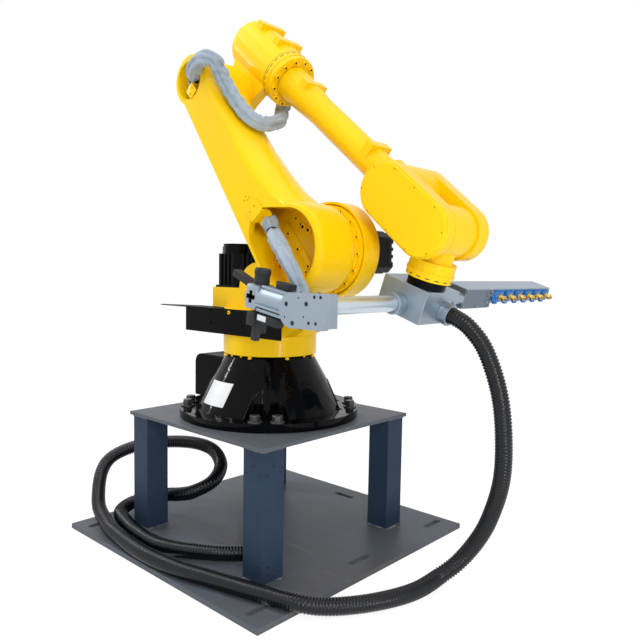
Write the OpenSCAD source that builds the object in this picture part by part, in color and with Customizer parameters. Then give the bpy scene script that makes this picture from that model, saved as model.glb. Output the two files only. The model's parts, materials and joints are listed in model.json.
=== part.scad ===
// Six-axis industrial robot arm on a square steel pedestal, with a clamp and a manifold as its tool.
// X runs forward along the arm, Y to the arm's left and Z up.
// The origin is on the floor, under the axis that the turret turns about.

/* [Pedestal] */
// Height of the top surface above the floor
pedestal_h = 550; // [450:5:750]
// Side of the square floor plate
floor_plate_w = 1280; // [1150:5:1500]
// Thickness of the floor plate
floor_plate_t = 22; // [14:1:30]
// Side of the square top plate
top_plate_w = 900; // [850:5:1050]
// Thickness of the top plate
top_plate_t = 16; // [10:1:30]
// Side of a square leg
leg_w = 110; // [80:1:140]
// Wall of a leg
leg_wall = 6; // [4:0.5:12]
// Distance of a leg from the edge of the top plate
leg_inset = 12; // [0:1:40]
// Width of a floor slot
slot_w = 28; // [16:1:40]
// Length of a floor slot from end to end
slot_len = 120; // [80:1:180]
// Distance of a corner slot's centre from the sides of the floor plate
slot_edge = 95; // [90:1:120]

/* [Base] */
// Radius of the base flange
flange_r = 405; // [390:1:420]
// Thickness of the base flange
flange_t = 36; // [24:1:50]
// Height of the base, from the pedestal to the turret
base_h = 280; // [250:5:320]
// Radius at the foot of the cone
cone_foot_r = 350; // [320:1:370]
// Radius at the top of the cone
cone_top_r = 195; // [175:1:205]
// Radius of a bolt pocket
pocket_r = 78; // [60:1:90]
// Distance of a bolt pocket from the turning axis
pocket_dist = 340; // [320:1:355]
// Reach of the connector box behind the cone's foot
connector_len = 86; // [60:1:120]
// Width of the connector box
connector_w = 190; // [140:1:220]
// Height of the connector box
connector_h = 205; // [150:1:220]
// Radius of the connector box's upper back edge
connector_round = 45; // [20:1:60]
// Width of the bare label plate on the cone
label_w = 150; // [100:1:180]
// Height of the bare label plate
label_h = 96; // [70:1:120]
// Direction that the label plate faces, in degrees
label_turn = -96; // [-110:1:-80]

/* [Turret] */
// Radius of the turret ring
turret_r = 211; // [208:1:225]
// Height of the turret ring
turret_ring_h = 88; // [70:1:100]
// Height of the turret's body up to the rear deck's floor
turret_body_h = 112; // [95:1:130]
// Reach of the rear deck behind the turning axis
deck_reach = 262; // [245:1:290]
// Place of the rear deck's near side
deck_near_y = -125; // [-129:1:-110]
// Place of the rear deck's far side
deck_far_y = 115; // [90:1:140]
// Height of the rear deck
deck_h = 90; // [70:1:110]
// Radius of the saddle between the deck and the shoulder
saddle_r = 118; // [100:1:125]
// Forward place of the saddle's centre
saddle_x = 45; // [20:1:70]
// Forward distance of the shoulder axis from the turning axis
shoulder_x = 450; // [430:5:500]
// Height of the shoulder axis above the pedestal
shoulder_h = 732; // [715:1:780]
// Radius of the shoulder ring
shoulder_r = 190; // [186:1:200]
// Width of the shoulder ring
shoulder_w = 84; // [70:1:110]
// Place of the shoulder ring's near rim
shoulder_y = -115; // [-125:1:-100]
// Width of the shoulder ring's rim
rim_w = 9; // [6:0.5:10]
// Depth of the recess inside the rim
rim_depth = 14; // [8:1:20]
// Length of the side bracket
bracket_len = 640; // [560:5:700]
// Height of the side bracket
bracket_h = 112; // [90:1:125]
// Reach of the bracket's top flange behind the bracket
bracket_tail = 205; // [150:1:240]
// Thickness of the bracket's sheet
bracket_t = 5; // [3:0.5:8]
// Forward place of the bracket's front end
bracket_front_x = 300; // [240:1:320]

/* [Motors] */
// Side of the base motor
base_motor_w = 150; // [120:1:170]
// Length of the base motor's body
base_motor_len = 155; // [120:1:190]
// Forward place of the base motor
base_motor_x = -178; // [-185:1:-165]
// Sideways place of the base motor
base_motor_y = -40; // [-45:1:20]
// Side of the shoulder motor
shoulder_motor_w = 176; // [150:1:190]
// Length of the shoulder motor's body
shoulder_motor_len = 190; // [150:1:220]
// Length of a motor's end cap
cap_len = 45; // [30:1:70]

/* [Lower arm] */
// Length from the shoulder axis to the elbow axis
arm_len = 915; // [880:5:1000]
// Lean of the lower arm behind upright where the tool has room, in degrees
rest_lean = 39.3; // [30:0.1:48]
// Least distance of the wrist ahead of the shoulder's axis
wrist_ahead = 451; // [430:1:480]
// Place of the arm's near face
arm_near_y = -350; // [-370:1:-335]
// Place of the arm's far face
arm_far_y = -135; // [-145:1:-130]
// Radius of the drum at the shoulder
drum_r = 175; // [165:1:176]
// Radius of the drum's opening
opening_r = 150; // [130:1:155]
// Thickness of the wall behind the drum's opening
drum_back_t = 45; // [30:1:60]
// Radius of the upper part of the opening
opening_top_r = 92; // [70:1:105]
// Radius of the round end at the elbow
arm_top_r = 103; // [95:1:112]
// Radius of the hollow in the round end
hollow_r = 78; // [60:1:85]
// Depth of the hollow in the round end
hollow_depth = 110; // [80:1:125]

/* [Elbow] */
// Distance from the elbow axis to the forearm axis
elbow_offset = 177; // [170:1:200]
// Radius of the elbow housing
housing_r = 114; // [105:1:120]
// Length of the elbow housing behind the elbow axis
housing_back = 196; // [170:1:220]
// Length of the elbow housing in front of the elbow axis
housing_front = 154; // [130:1:180]
// Radius of the rounded back edge
dome_r = 62; // [40:1:80]
// Radius of the elbow flange
elbow_flange_r = 112; // [104:1:116]
// Thickness of the elbow flange
elbow_flange_t = 26; // [18:1:36]
// Radius of the boss on the elbow axis
elbow_boss_r = 92; // [85:1:98]
// Width of a pad on top of the elbow housing
pad_w = 138; // [110:1:170]
// Length of a pad along the arm
pad_len = 38; // [25:1:50]
// Height of a pad above the round surface
pad_rise = 10; // [5:1:20]

/* [Forearm and wrist] */
// Length from the elbow axis to the wrist axis
forearm_len = 1200; // [1150:5:1300]
// Slope of the forearm, in degrees above level
forearm_pitch = -40.2; // [-50:0.1:-25]
// Radius of the forearm's cone at the elbow
forearm_root_r = 76; // [68:1:84]
// Radius of the forearm tube
forearm_r = 60; // [52:1:66]
// Length of the forearm's cone
cone_len = 230; // [150:1:300]
// Width of the wrist fork over its covers
fork_w = 298; // [290:1:330]
// Radius of the wrist fork's round ends
fork_r = 105; // [98:1:112]
// Distance between the round ends' centres
fork_len = 221; // [205:1:250]
// Depth of a wrist cover
cover_t = 58; // [45:1:65]
// Bevel of a cover's outer edge
cover_bevel = 7; // [3:0.5:12]
// Thickness of a fork arm under its cover
fork_arm_t = 17; // [14:1:22]
// Radius of the collar where the tube meets the fork
fork_collar_r = 80; // [70:1:92]
// Direction of the tool axis, in degrees above level
wrist_pitch = -109; // [-120:0.5:-98]
// Radius of the wrist body
wrist_r = 96; // [88:1:101]
// Radius of the wrist collar
collar_r = 86; // [80:1:92]
// Distance from the wrist axis to the tool flange's face
wrist_len = 210; // [200:1:235]
// Thickness of the tool flange
tool_flange_t = 28; // [20:1:36]
// Radius of the tool flange
tool_flange_r = 73; // [66:1:80]

/* [Tool] */
// Length of the block along the arm
block_len = 204; // [190:1:230]
// Length of the block behind the tool axis
block_back = 138; // [120:1:150]
// Width of the block across the arm
block_w = 215; // [200:1:240]
// Place of the block's near face
block_near_y = -75; // [-85:1:-65]
// Height of the block
block_h = 126; // [118:1:140]
// Radius of the tool tube
tube_r = 30; // [24:1:34]
// Wall of the tool tube
tube_wall = 5; // [3:0.5:8]
// Distance of the tube behind the tool axis
tube_x = 40; // [30:1:55]
// Depth of the tube below the tool flange
tube_z = 82; // [70:1:86]
// Length of the tool tube from the block to the clamp
tube_len = 440; // [430:5:480]
// Length of the tool tube on the far side of the block
tube_far_len = 12; // [6:1:40]
// Thickness of the clamp plate
clamp_plate_t = 26; // [16:1:34]
// Length of the clamp plate
clamp_plate_len = 220; // [200:1:240]
// Height of the clamp plate
clamp_plate_h = 116; // [108:1:130]
// Radius of the clamp cylinder
cylinder_r = 44; // [36:1:50]
// Length of the clamp cylinder
cylinder_len = 235; // [200:1:260]
// Length of the manifold
manifold_len = 540; // [480:5:600]
// Height of the manifold
manifold_h = 56; // [45:1:64]
// Depth of the manifold
manifold_t = 40; // [30:1:50]
// Number of fittings on the manifold
fitting_count = 6; // [4:1:7]
// Radius of a manifold fitting
fitting_r = 12; // [8:0.5:15]
// Outer radius of the hose
hose_r = 31.5; // [26:0.5:34]

/* [Hidden] */
$fn = 64;
// Overrun of a cut past the face it opens
cut = 2;
// Gap between pieces that turn against each other
run_gap = 5;
// Gap around a shaft in its bearing, and of a piece from its seat
fit_gap = 0.3;
// Depth by which a shape runs into the one that carries it
root = 4;

base_z = pedestal_h;
turret_z = base_z + base_h;
disc_z = turret_z + turret_ring_h;
deck_z = disc_z + turret_body_h;
deck_top_z = deck_z + deck_h;
shoulder = [shoulder_x, pedestal_h + shoulder_h];
forearm_run = forearm_len * cos(forearm_pitch) - elbow_offset * sin(forearm_pitch);
arm_lean = min(rest_lean, asin(min(1, (forearm_run - wrist_ahead) / arm_len)));
elbow = shoulder + arm_len * [-sin(arm_lean), cos(arm_lean)];
forearm_dir = [cos(forearm_pitch), sin(forearm_pitch)];
forearm_up = [-sin(forearm_pitch), cos(forearm_pitch)];
forearm_foot = elbow + elbow_offset * forearm_up;
wrist = forearm_foot + forearm_len * forearm_dir;
wrist_dir = [cos(wrist_pitch), sin(wrist_pitch)];
flange_face = wrist + wrist_len * wrist_dir;

shoulder_far_y = shoulder_y + shoulder_w;
arm_w = arm_far_y - arm_near_y;
arm_mid_y = (arm_far_y + arm_near_y) / 2;
hub_r_share = 0.4;
hub_r = shoulder_r * hub_r_share;
hub_len = shoulder_w / 2;
elbow_pin_r = elbow_boss_r / 2;
elbow_pin_len = arm_w / 4;
spigot_r_share = 0.7;
spigot_r = forearm_root_r * spigot_r_share;
fork_gap = fork_w - 2 * (cover_t + fork_arm_t);
trunnion_r = wrist_r / 2;
collar_end = wrist_len - tool_flange_t - run_gap;
spindle_r_share = 0.6;
spindle_r = tool_flange_r * spindle_r_share;
spindle_len = tool_flange_t;
leg_dist = top_plate_w / 2 - leg_inset - leg_w / 2;
slot_dist = floor_plate_w / 2 - slot_edge;

yellow = "#f5c400";
black = "#17181b";
steel = "#3f4a5c";
silver = "#b9bfc6";
brass = "#b08d3c";
cloth = "#8fa0b8";
blue = "#2f62b0";

// Helpers

// Places children on the arm's plane: their Z runs along a link and their -X faces its upper side
module on_link(place, pitch) {
    translate([place[0], 0, place[1]]) rotate([0, 90 - pitch, 0]) children();
}

// Places children in the lower arm's axes: Z runs from shoulder to elbow and X faces forward
module on_arm() {
    translate([shoulder[0], 0, shoulder[1]]) rotate([0, -arm_lean, 0]) children();
}

// Cylinder along Y between two places
module cross_cylinder(r, y0, y1) {
    translate([0, y0, 0]) rotate([-90, 0, 0]) cylinder(r = r, h = y1 - y0);
}

// Extrusion of an outline on X and Z between two places on Y
module cross_extrude(y0, y1) {
    translate([0, y1, 0]) rotate([90, 0, 0]) linear_extrude(height = y1 - y0) children();
}

// Box centred on X and Y, standing on Z
module standing_box(size) {
    translate([-size[0] / 2, -size[1] / 2, 0]) cube(size);
}

// Stadium plate between two places on Y, from the origin's round end back along the link
module stadium_plate(r, len, y0, y1) {
    cross_cylinder(r, y0, y1);
    translate([0, 0, -len]) cross_cylinder(r, y0, y1);
    translate([-r, y0, -len]) cube([2 * r, y1 - y0, len]);
}

// Flat pad across the top of a round link
module top_pad(r, along) {
    translate([-r - pad_rise, -pad_w / 2, along]) cube([r / 2, pad_w, pad_len]);
}

function unit(v) = v / norm(v);
function heading(route, i) = unit(route[min(i + 1, len(route) - 1)] - route[max(i - 1, 0)]);
function carried(n, t) = unit(n - (n * t) * t);
function route_frames(route, n, i = 0) = i == len(route) ? [] :
    let (t = heading(route, i), m = carried(n, t)) concat([[m, cross(t, m)]], route_frames(route, m, i + 1));

// Skin over rings of points, each ring closed and the first and last filled
module ring_skin(rings) {
    n = len(rings[0]);
    last = len(rings) - 1;
    sides = [for (i = [0 : last - 1], k = [0 : n - 1]) each
        let (a = i * n + k, b = i * n + (k + 1) % n) [[a, b, b + n], [a, b + n, a + n]]];
    caps = [[for (k = [n - 1 : -1 : 0]) k], [for (k = [0 : n - 1]) last * n + k]];
    polyhedron(points = [for (ring = rings) each ring], faces = concat(sides, caps));
}

// Tube along a route
module swept_tube(route, r, sides = 10) {
    t = heading(route, 0);
    frames = route_frames(route, abs(t[1]) < abs(t[0]) + abs(t[2]) ? [0, 1, 0] : [1, 0, 0]);
    ring_skin([for (i = [0 : len(route) - 1]) [for (k = [0 : sides - 1])
        let (a = -360 * k / sides) route[i] + r * (cos(a) * frames[i][0] + sin(a) * frames[i][1])]]);
}

// Pedestal

module slot_cut(along_y) {
    run = slot_len - slot_w;
    rotate(along_y ? 90 : 0) translate([0, 0, -cut]) {
        for (side = [-1, 1]) translate([side * run / 2, 0, 0]) cylinder(d = slot_w, h = floor_plate_t + 2 * cut);
        translate([-run / 2, -slot_w / 2, 0]) cube([run, slot_w, floor_plate_t + 2 * cut]);
    }
}

module floor_plate() {
    color(steel) difference() {
        standing_box([floor_plate_w, floor_plate_w, floor_plate_t]);
        for (sx = [-1, 1], sy = [-1, 1]) translate([sx * slot_dist, sy * slot_dist, 0]) slot_cut(true);
        for (side = [-1, 1]) {
            translate([side * slot_dist, 0, 0]) slot_cut(true);
            translate([0, side * slot_dist, 0]) slot_cut(false);
        }
    }
}

module leg(sx, sy) {
    leg_h = pedestal_h - top_plate_t - floor_plate_t;
    inner_w = leg_w - 2 * leg_wall;
    color(steel) translate([sx * leg_dist, sy * leg_dist, floor_plate_t]) difference() {
        standing_box([leg_w, leg_w, leg_h]);
        translate([0, 0, -cut]) standing_box([inner_w, inner_w, leg_h + 2 * cut]);
    }
}

module leg_front_near() leg(1, -1);
module leg_front_far() leg(1, 1);
module leg_rear_near() leg(-1, -1);
module leg_rear_far() leg(-1, 1);

module top_plate() {
    color(steel) translate([0, 0, pedestal_h - top_plate_t]) standing_box([top_plate_w, top_plate_w, top_plate_t]);
}

// Base

module base_cone(skin = 0) {
    cylinder(r1 = cone_foot_r + skin, r2 = cone_top_r + skin, h = base_h);
}

module robot_base() {
    color(black) translate([0, 0, base_z]) difference() {
        union() {
            cylinder(r = flange_r, h = flange_t);
            base_cone();
        }
        for (a = [45 : 90 : 315]) rotate(a) translate([pocket_dist, 0, flange_t]) cylinder(r = pocket_r, h = base_h);
    }
}

// Side outline of the connector box, with its upper back edge rounded
module connector_outline() {
    back = -cone_foot_r - connector_len;
    top = flange_t + connector_h;
    translate([back + connector_round, top - connector_round]) circle(r = connector_round);
    polygon([[back, flange_t], [-cone_top_r, flange_t], [-cone_top_r, top], [back + connector_round, top],
        [back + connector_round, top - connector_round], [back, top - connector_round]]);
}

module connector_box() {
    color(black) translate([0, 0, base_z]) difference() {
        cross_extrude(-connector_w / 2, connector_w / 2) connector_outline();
        translate([0, 0, -cut]) cylinder(r = flange_r, h = flange_t + cut);
        base_cone();
    }
}

label_t = 2;
label_z_share = 0.42;
module base_label() {
    color("white") translate([0, 0, base_z]) intersection() {
        difference() {
            base_cone(label_t);
            base_cone();
        }
        rotate(label_turn) translate([0, -label_w / 2, base_h * label_z_share - label_h / 2])
            cube([cone_foot_r, label_w, label_h]);
    }
}

// Turret

module turret_ring() {
    color(yellow) translate([0, 0, turret_z]) cylinder(r = turret_r, h = turret_ring_h);
}

// Side outline of the web that carries the shoulder ring
module web_outline() {
    rise = shoulder - [0, disc_z];
    across = [-rise[1], rise[0]] / norm(rise) * shoulder_r;
    translate(shoulder) circle(r = shoulder_r);
    polygon([[-saddle_r, disc_z], [turret_r, disc_z], shoulder - across, shoulder + across]);
}

disc_lip = 6;
module turret_body() {
    color(yellow) difference() {
        union() {
            translate([0, 0, disc_z]) cylinder(r = turret_r + disc_lip, h = turret_ring_h / 3);
            translate([0, 0, disc_z]) cylinder(r = turret_r, h = turret_body_h);
            translate([-deck_reach, deck_near_y, deck_z]) cube([deck_reach + saddle_x, deck_far_y - deck_near_y, deck_h]);
            translate([saddle_x, 0, deck_top_z - root]) cross_cylinder(saddle_r, deck_near_y, shoulder_far_y);
            cross_extrude(shoulder_y, shoulder_far_y) web_outline();
        }
        translate([shoulder[0], 0, shoulder[1]]) {
            cross_cylinder(hub_r + fit_gap, shoulder_y - cut, shoulder_y + rim_depth + hub_len + fit_gap);
            cross_cylinder(shoulder_r - rim_w, shoulder_y - cut, shoulder_y + rim_depth);
        }
    }
}

// Fluted outline of a motor with its corners cut off
motor_corner_share = 0.15;
flute_share = 0.045;
flute_pitch_share = 0.18;
module motor_outline(w) {
    edge = w / 2;
    corner = edge - w * motor_corner_share;
    flute = w * flute_share;
    difference() {
        polygon([[edge, -corner], [edge, corner], [corner, edge], [-corner, edge],
            [-edge, corner], [-edge, -corner], [-corner, -edge], [corner, -edge]]);
        for (turn = [0 : 90 : 270], place = [-1, 0, 1]) rotate(turn)
            translate([edge - flute, place * w * flute_pitch_share - flute]) square([flute + cut, 2 * flute]);
    }
}

motor_foot_share = 0.07;
module motor_body(w, len) {
    standing_box([w, w, w * motor_foot_share]);
    linear_extrude(height = len) motor_outline(w);
}

// Round socket on a motor's side and the block on its cap, for the plugs
socket_share = 0.12;
module motor_socket(w, along) {
    translate([0, 0, along]) rotate([0, -90, 0]) cylinder(r = w * socket_share, h = w / 2 + w * socket_share * 2);
}

module cap_block(w) {
    translate([-w / 2, -w * socket_share * 2, 0]) cube([w / 2, w * socket_share * 4, cap_len * 3 / 4]);
}

module base_motor() {
    color(black) translate([base_motor_x, base_motor_y, deck_top_z]) {
        motor_body(base_motor_w, base_motor_len);
        motor_socket(base_motor_w, base_motor_len * 3 / 4);
    }
}

module base_motor_cap() {
    color(black) translate([base_motor_x, base_motor_y, deck_top_z + base_motor_len]) {
        cylinder(d = base_motor_w - 2 * root, h = cap_len);
        cap_block(base_motor_w);
    }
}

motor_socket_turn = -90;
module on_shoulder_motor() {
    translate([shoulder[0], shoulder_far_y, shoulder[1]]) rotate([-90, 0, 0]) children();
}

module shoulder_motor() {
    color(black) on_shoulder_motor() {
        motor_body(shoulder_motor_w, shoulder_motor_len);
        rotate(motor_socket_turn) motor_socket(shoulder_motor_w, shoulder_motor_len * 3 / 4);
    }
}

module shoulder_motor_cap() {
    color(black) on_shoulder_motor() translate([0, 0, shoulder_motor_len]) {
        linear_extrude(height = cap_len) motor_outline(shoulder_motor_w - 2 * root);
    }
}

bracket_y = -turret_r - disc_lip - bracket_t;
module side_bracket() {
    flange_w = deck_near_y - bracket_y - fit_gap;
    flange_end = bracket_len - bracket_front_x - turret_r;
    color(black) translate([bracket_front_x - bracket_len, bracket_y, disc_z]) {
        cube([bracket_len, bracket_t, bracket_h]);
        translate([0, 0, bracket_h - bracket_t]) linear_extrude(height = bracket_t)
            polygon([[-bracket_tail, 0], [flange_end, 0], [flange_end, flange_w], [0, flange_w]]);
    }
}

// Lower arm

// Stations along the arm, as shares of its length, and the arm's outline there as shares of the round end's radius
station_share = [0.02, 0.10, 0.235, 0.377, 0.525, 0.665, 0.81, 0.92, 1];
ridge_share = [1.15, 0.94, 0.47, 0.24, 0.21, 0.34, 0.48, 0.70, 0.86];
front_share = [1.55, 1.32, 0.97, 0.84, 0.75, 0.69, 0.68, 0.78, 0.94];
arm_edge = 14;
arc_steps = 12;

function arm_ring(i) =
    let (
        along = station_share[i],
        rear = -(drum_r + (arm_top_r - drum_r) * along),
        ridge = ridge_share[i] * arm_top_r,
        front = front_share[i] * arm_top_r,
        z = along * arm_len
    )
    concat(
        [for (k = [0 : arc_steps]) let (a = 90 - 180 * k / arc_steps)
            [ridge + (front - ridge) * cos(a), arm_mid_y + arm_w / 2 * sin(a), z]],
        [[rear + arm_edge, arm_near_y, z], [rear, arm_near_y + arm_edge, z], [rear, arm_far_y, z]]
    );

// Half section of the drum: radius and place along the shoulder's axis, from its round lip to its bolted flange
drum_lip = 24;
waist_r_share = 0.9;
waist_run = 58;
drum_flange_t = 20;
function drum_section() =
    let (
        waist_r = drum_r * waist_r_share,
        far_y = shoulder_y + rim_depth - run_gap,
        flange_y = far_y - drum_flange_t,
        waist_y = flange_y - waist_run
    )
    concat(
        [[0, arm_near_y]],
        [for (a = [-90 : 15 : 0]) [drum_r - drum_lip * (1 - cos(a)), arm_near_y + drum_lip * (1 + sin(a))]],
        [for (a = [0 : 15 : 90]) [waist_r + (drum_r - waist_r) * cos(a), waist_y + waist_run * sin(a) * 3 / 4]],
        [[waist_r, flange_y], [drum_r, flange_y], [drum_r, far_y], [0, far_y]]
    );

opening_lift_share = 0.8;
cavity_shift_share = 0.65;
cavity_lift_share = 1.75;
hollow_shift_share = 0.12;
module lower_arm() {
    drum_far_y = shoulder_y + rim_depth - run_gap;
    color(yellow) on_arm() difference() {
        union() {
            ring_skin([for (i = [0 : len(station_share) - 1]) arm_ring(i)]);
            rotate([-90, 0, 0]) rotate_extrude() polygon(drum_section());
            cross_cylinder(hub_r, drum_far_y - root, shoulder_y + rim_depth + hub_len);
            translate([0, 0, arm_len]) cross_cylinder(arm_top_r, arm_near_y, arm_far_y);
        }
        cross_extrude(arm_near_y - cut, arm_far_y - drum_back_t) hull() {
            circle(r = opening_r);
            translate([-opening_top_r / 2, opening_r * opening_lift_share]) circle(r = opening_top_r);
        }
        cross_extrude(arm_near_y + arm_edge * 2, arm_far_y - drum_back_t) hull() {
            translate([-opening_top_r / 2, opening_r * opening_lift_share]) circle(r = opening_top_r - arm_edge);
            translate([-opening_top_r * cavity_shift_share, opening_r * cavity_lift_share]) circle(r = hollow_r - arm_edge);
        }
        translate([-hollow_r * hollow_shift_share, 0, arm_len + hollow_r * hollow_shift_share])
            cross_cylinder(hollow_r, arm_near_y - cut, arm_near_y + hollow_depth);
        translate([0, 0, arm_len])
            cross_cylinder(elbow_pin_r + fit_gap, arm_far_y - elbow_pin_len - fit_gap, arm_far_y + cut);
    }
}

// Bent strip over the opening's upper edge, whose lip holds the lower sleeve
strip_w = 72;
strip_t = 6;
strip_h = 50;
strip_depth = 46;
strip_lift_share = 0.84;
module sleeve_bracket() {
    foot_z = opening_r * opening_lift_share + opening_top_r * strip_lift_share;
    lip_h = foot_z - lower_in_arm[0][2] - fit_gap;
    face_y = arm_near_y - fit_gap;
    color(yellow) on_arm() translate([lower_in_arm[0][0] - strip_w / 2, face_y, foot_z]) {
        translate([0, -strip_t, -strip_t]) cube([strip_w, strip_t, strip_h + strip_t]);
        translate([0, -strip_t, -strip_t]) cube([strip_w, strip_depth, strip_t]);
        translate([0, strip_depth - 2 * strip_t, -lip_h]) cube([strip_w, strip_t, lip_h]);
    }
}

// Elbow

// Half section of the elbow housing: radius and place along the forearm axis
function housing_section() = concat(
    [[0, housing_front], [housing_r, housing_front]],
    [for (a = [0 : -15 : -90]) [housing_r - dome_r + dome_r * cos(a), dome_r - housing_back + dome_r * sin(a)]],
    [[0, -housing_back]]
);

pad_place_share = [-0.72, 0.18];
module elbow_housing() {
    color(yellow) on_link(forearm_foot, forearm_pitch) {
        rotate_extrude() polygon(housing_section());
        translate([elbow_offset, 0, 0]) {
            cross_cylinder(elbow_boss_r, arm_far_y + run_gap, housing_r);
            cross_cylinder(elbow_pin_r, arm_far_y - elbow_pin_len, arm_far_y + run_gap + root);
        }
        cross_extrude(-elbow_boss_r, elbow_boss_r)
            polygon([[0, dome_r - housing_back], [0, housing_front], [elbow_offset, elbow_boss_r],
                [elbow_offset, -elbow_boss_r]]);
        for (share = pad_place_share) top_pad(housing_r, share * housing_front);
    }
}

module elbow_flange() {
    color(yellow) on_link(forearm_foot, forearm_pitch) translate([0, 0, housing_front]) difference() {
        cylinder(r = elbow_flange_r, h = elbow_flange_t);
        translate([0, 0, -cut]) cylinder(r = spigot_r + fit_gap, h = elbow_flange_t + 2 * cut);
    }
}

// Forearm and wrist

tube_start = housing_front + elbow_flange_t + run_gap;
fork_start = forearm_len - fork_len - fork_r;
forearm_pad_share = [0.14, 0.80];
module forearm_tube() {
    tube_len_free = fork_start - tube_start;
    color(yellow) on_link(forearm_foot, forearm_pitch) {
        translate([0, 0, housing_front + fit_gap]) cylinder(r = spigot_r, h = elbow_flange_t + run_gap);
        translate([0, 0, tube_start]) cylinder(r1 = forearm_root_r, r2 = forearm_r, h = cone_len);
        translate([0, 0, tube_start + cone_len]) cylinder(r = forearm_r, h = tube_len_free - cone_len);
        for (share = forearm_pad_share) translate([-forearm_r - pad_rise, -forearm_r, tube_start + share * tube_len_free])
            cube([forearm_r, 2 * forearm_r, pad_len]);
    }
}

module wrist_fork() {
    arm_y = fork_gap / 2;
    color(yellow) on_link(forearm_foot, forearm_pitch) difference() {
        union() {
            for (y0 = [-arm_y - fork_arm_t, arm_y]) translate([0, 0, forearm_len])
                stadium_plate(fork_r, fork_len, y0, y0 + fork_arm_t);
            translate([0, 0, fork_start]) cylinder(r = fork_collar_r, h = fork_r);
            translate([0, 0, forearm_len - fork_len]) cross_cylinder(fork_r, -arm_y - root, arm_y + root);
        }
        translate([0, 0, forearm_len]) cross_cylinder(trunnion_r + fit_gap, -fork_w / 2, fork_w / 2);
    }
}

// Deep cover on one side of the fork, bevelled round its outer edge
module wrist_cover(side) {
    inner = fork_gap / 2 + fork_arm_t;
    color(yellow) on_link(wrist, forearm_pitch) mirror([0, side < 0 ? 1 : 0, 0]) {
        stadium_plate(fork_r, fork_len, inner, inner + cover_t - cover_bevel);
        stadium_plate(fork_r - cover_bevel, fork_len, inner + cover_t - cover_bevel, inner + cover_t);
    }
}

module wrist_cover_near() wrist_cover(-1);
module wrist_cover_far() wrist_cover(1);

module wrist_body() {
    half = fork_gap / 2 - run_gap;
    trunnion_end = half + run_gap + fork_arm_t - fit_gap;
    neck_end = fork_r + run_gap;
    color(yellow) on_link(wrist, wrist_pitch) difference() {
        union() {
            cross_cylinder(wrist_r, -half, half);
            cross_cylinder(trunnion_r, -trunnion_end, trunnion_end);
            cylinder(r = half - fit_gap, h = collar_end);
            translate([0, 0, neck_end]) cylinder(r = collar_r, h = collar_end - neck_end);
        }
        translate([0, 0, collar_end - spindle_len - fit_gap]) cylinder(r = spindle_r + fit_gap, h = collar_end);
    }
}

// Tool

module on_flange() {
    on_link(flange_face, wrist_pitch) children();
}

module tool_flange() {
    color(black) on_flange() {
        translate([0, 0, -tool_flange_t]) cylinder(r = tool_flange_r, h = tool_flange_t);
        translate([0, 0, -tool_flange_t - run_gap - spindle_len]) cylinder(r = spindle_r, h = spindle_len + run_gap + root);
    }
}

block_far_y = block_near_y + block_w;
block_front_x = block_back - block_len;
module tool_block() {
    color(silver) on_flange() difference() {
        translate([block_front_x, block_near_y, 0]) cube([block_len, block_w, block_h]);
        translate([tube_x, 0, tube_z]) cross_cylinder(tube_r + fit_gap, block_near_y - cut, block_far_y + cut);
    }
}

tube_end_y = block_near_y - tube_len;
tube_far_y = block_far_y + tube_far_len;
module tool_tube() {
    color(silver) on_flange() translate([tube_x, 0, tube_z]) difference() {
        cross_cylinder(tube_r, tube_end_y, tube_far_y);
        cross_cylinder(tube_r - tube_wall, tube_end_y - cut, tube_far_y + cut);
    }
}

collar_wall = 10;
tube_collar_len = 46;
module tube_collar() {
    color(silver) on_flange() translate([tube_x, 0, tube_z]) difference() {
        cross_cylinder(tube_r + collar_wall, block_near_y - tube_collar_len, block_near_y - fit_gap);
        cross_cylinder(tube_r + fit_gap, block_near_y - tube_collar_len - cut, block_near_y + cut);
    }
}

// The clamp is turned level on the tube
clamp_pitch = -90;
tube_place = flange_face + tube_x * [sin(wrist_pitch), -cos(wrist_pitch)] + tube_z * wrist_dir;
module on_clamp() {
    on_link(tube_place, clamp_pitch) children();
}

clamp_lead = 72;
clamp_drop = 16;
clamp_front_x = -clamp_lead;
clamp_slant = clamp_plate_h / 5;
clamp_near_y = tube_end_y - clamp_plate_t;
clamp_back_x = clamp_front_x + clamp_plate_len;
// Holes in the clamp's plate: their places as shares of its length and height, and radii as shares of its thickness
clamp_hole_share = [
    [0.52, -0.17, 0.31], [0.11, -0.2, 0.31], [0.39, 0.36, 0.31],
    [-0.05, -0.4, 0.22], [-0.17, -0.4, 0.22], [0.06, 0.32, 0.22], [-0.08, 0.32, 0.22],
    [0.27, -0.36, 0.12], [0.55, 0.2, 0.12], [0.16, 0.16, 0.12]
];
clamp_hole_depth = 18;
module clamp_plate() {
    half = clamp_plate_h / 2;
    color(silver) on_clamp() translate([0, 0, clamp_drop]) difference() {
        cross_extrude(clamp_near_y, tube_end_y) {
            translate([clamp_back_x - half, 0]) circle(r = half);
            polygon([[clamp_front_x, -half], [clamp_back_x - half, -half], [clamp_back_x - half, half],
                [clamp_front_x + clamp_slant, half]]);
        }
        for (i = [0 : len(clamp_hole_share) - 1])
            translate([clamp_hole_share[i][0] * clamp_plate_len, 0, clamp_hole_share[i][1] * clamp_plate_h])
                cross_cylinder(clamp_hole_share[i][2] * clamp_plate_t, clamp_near_y - cut, clamp_near_y + clamp_hole_depth);
    }
}

clamp_body_len_share = 0.7;
clamp_body_w = 54;
clamp_body_h_share = 0.95;
module clamp_body() {
    body_h = clamp_plate_h * clamp_body_h_share;
    body_len = clamp_plate_len * clamp_body_len_share;
    body_back_x = clamp_back_x - clamp_plate_t - cylinder_r * sin(cylinder_pitch);
    color(silver) on_clamp() difference() {
        translate([body_back_x - body_len, tube_end_y, clamp_drop - body_h / 2]) cube([body_len, clamp_body_w, body_h]);
        cross_cylinder(tube_r + fit_gap, tube_end_y - cut, tube_end_y + clamp_body_w + cut);
    }
}

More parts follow.
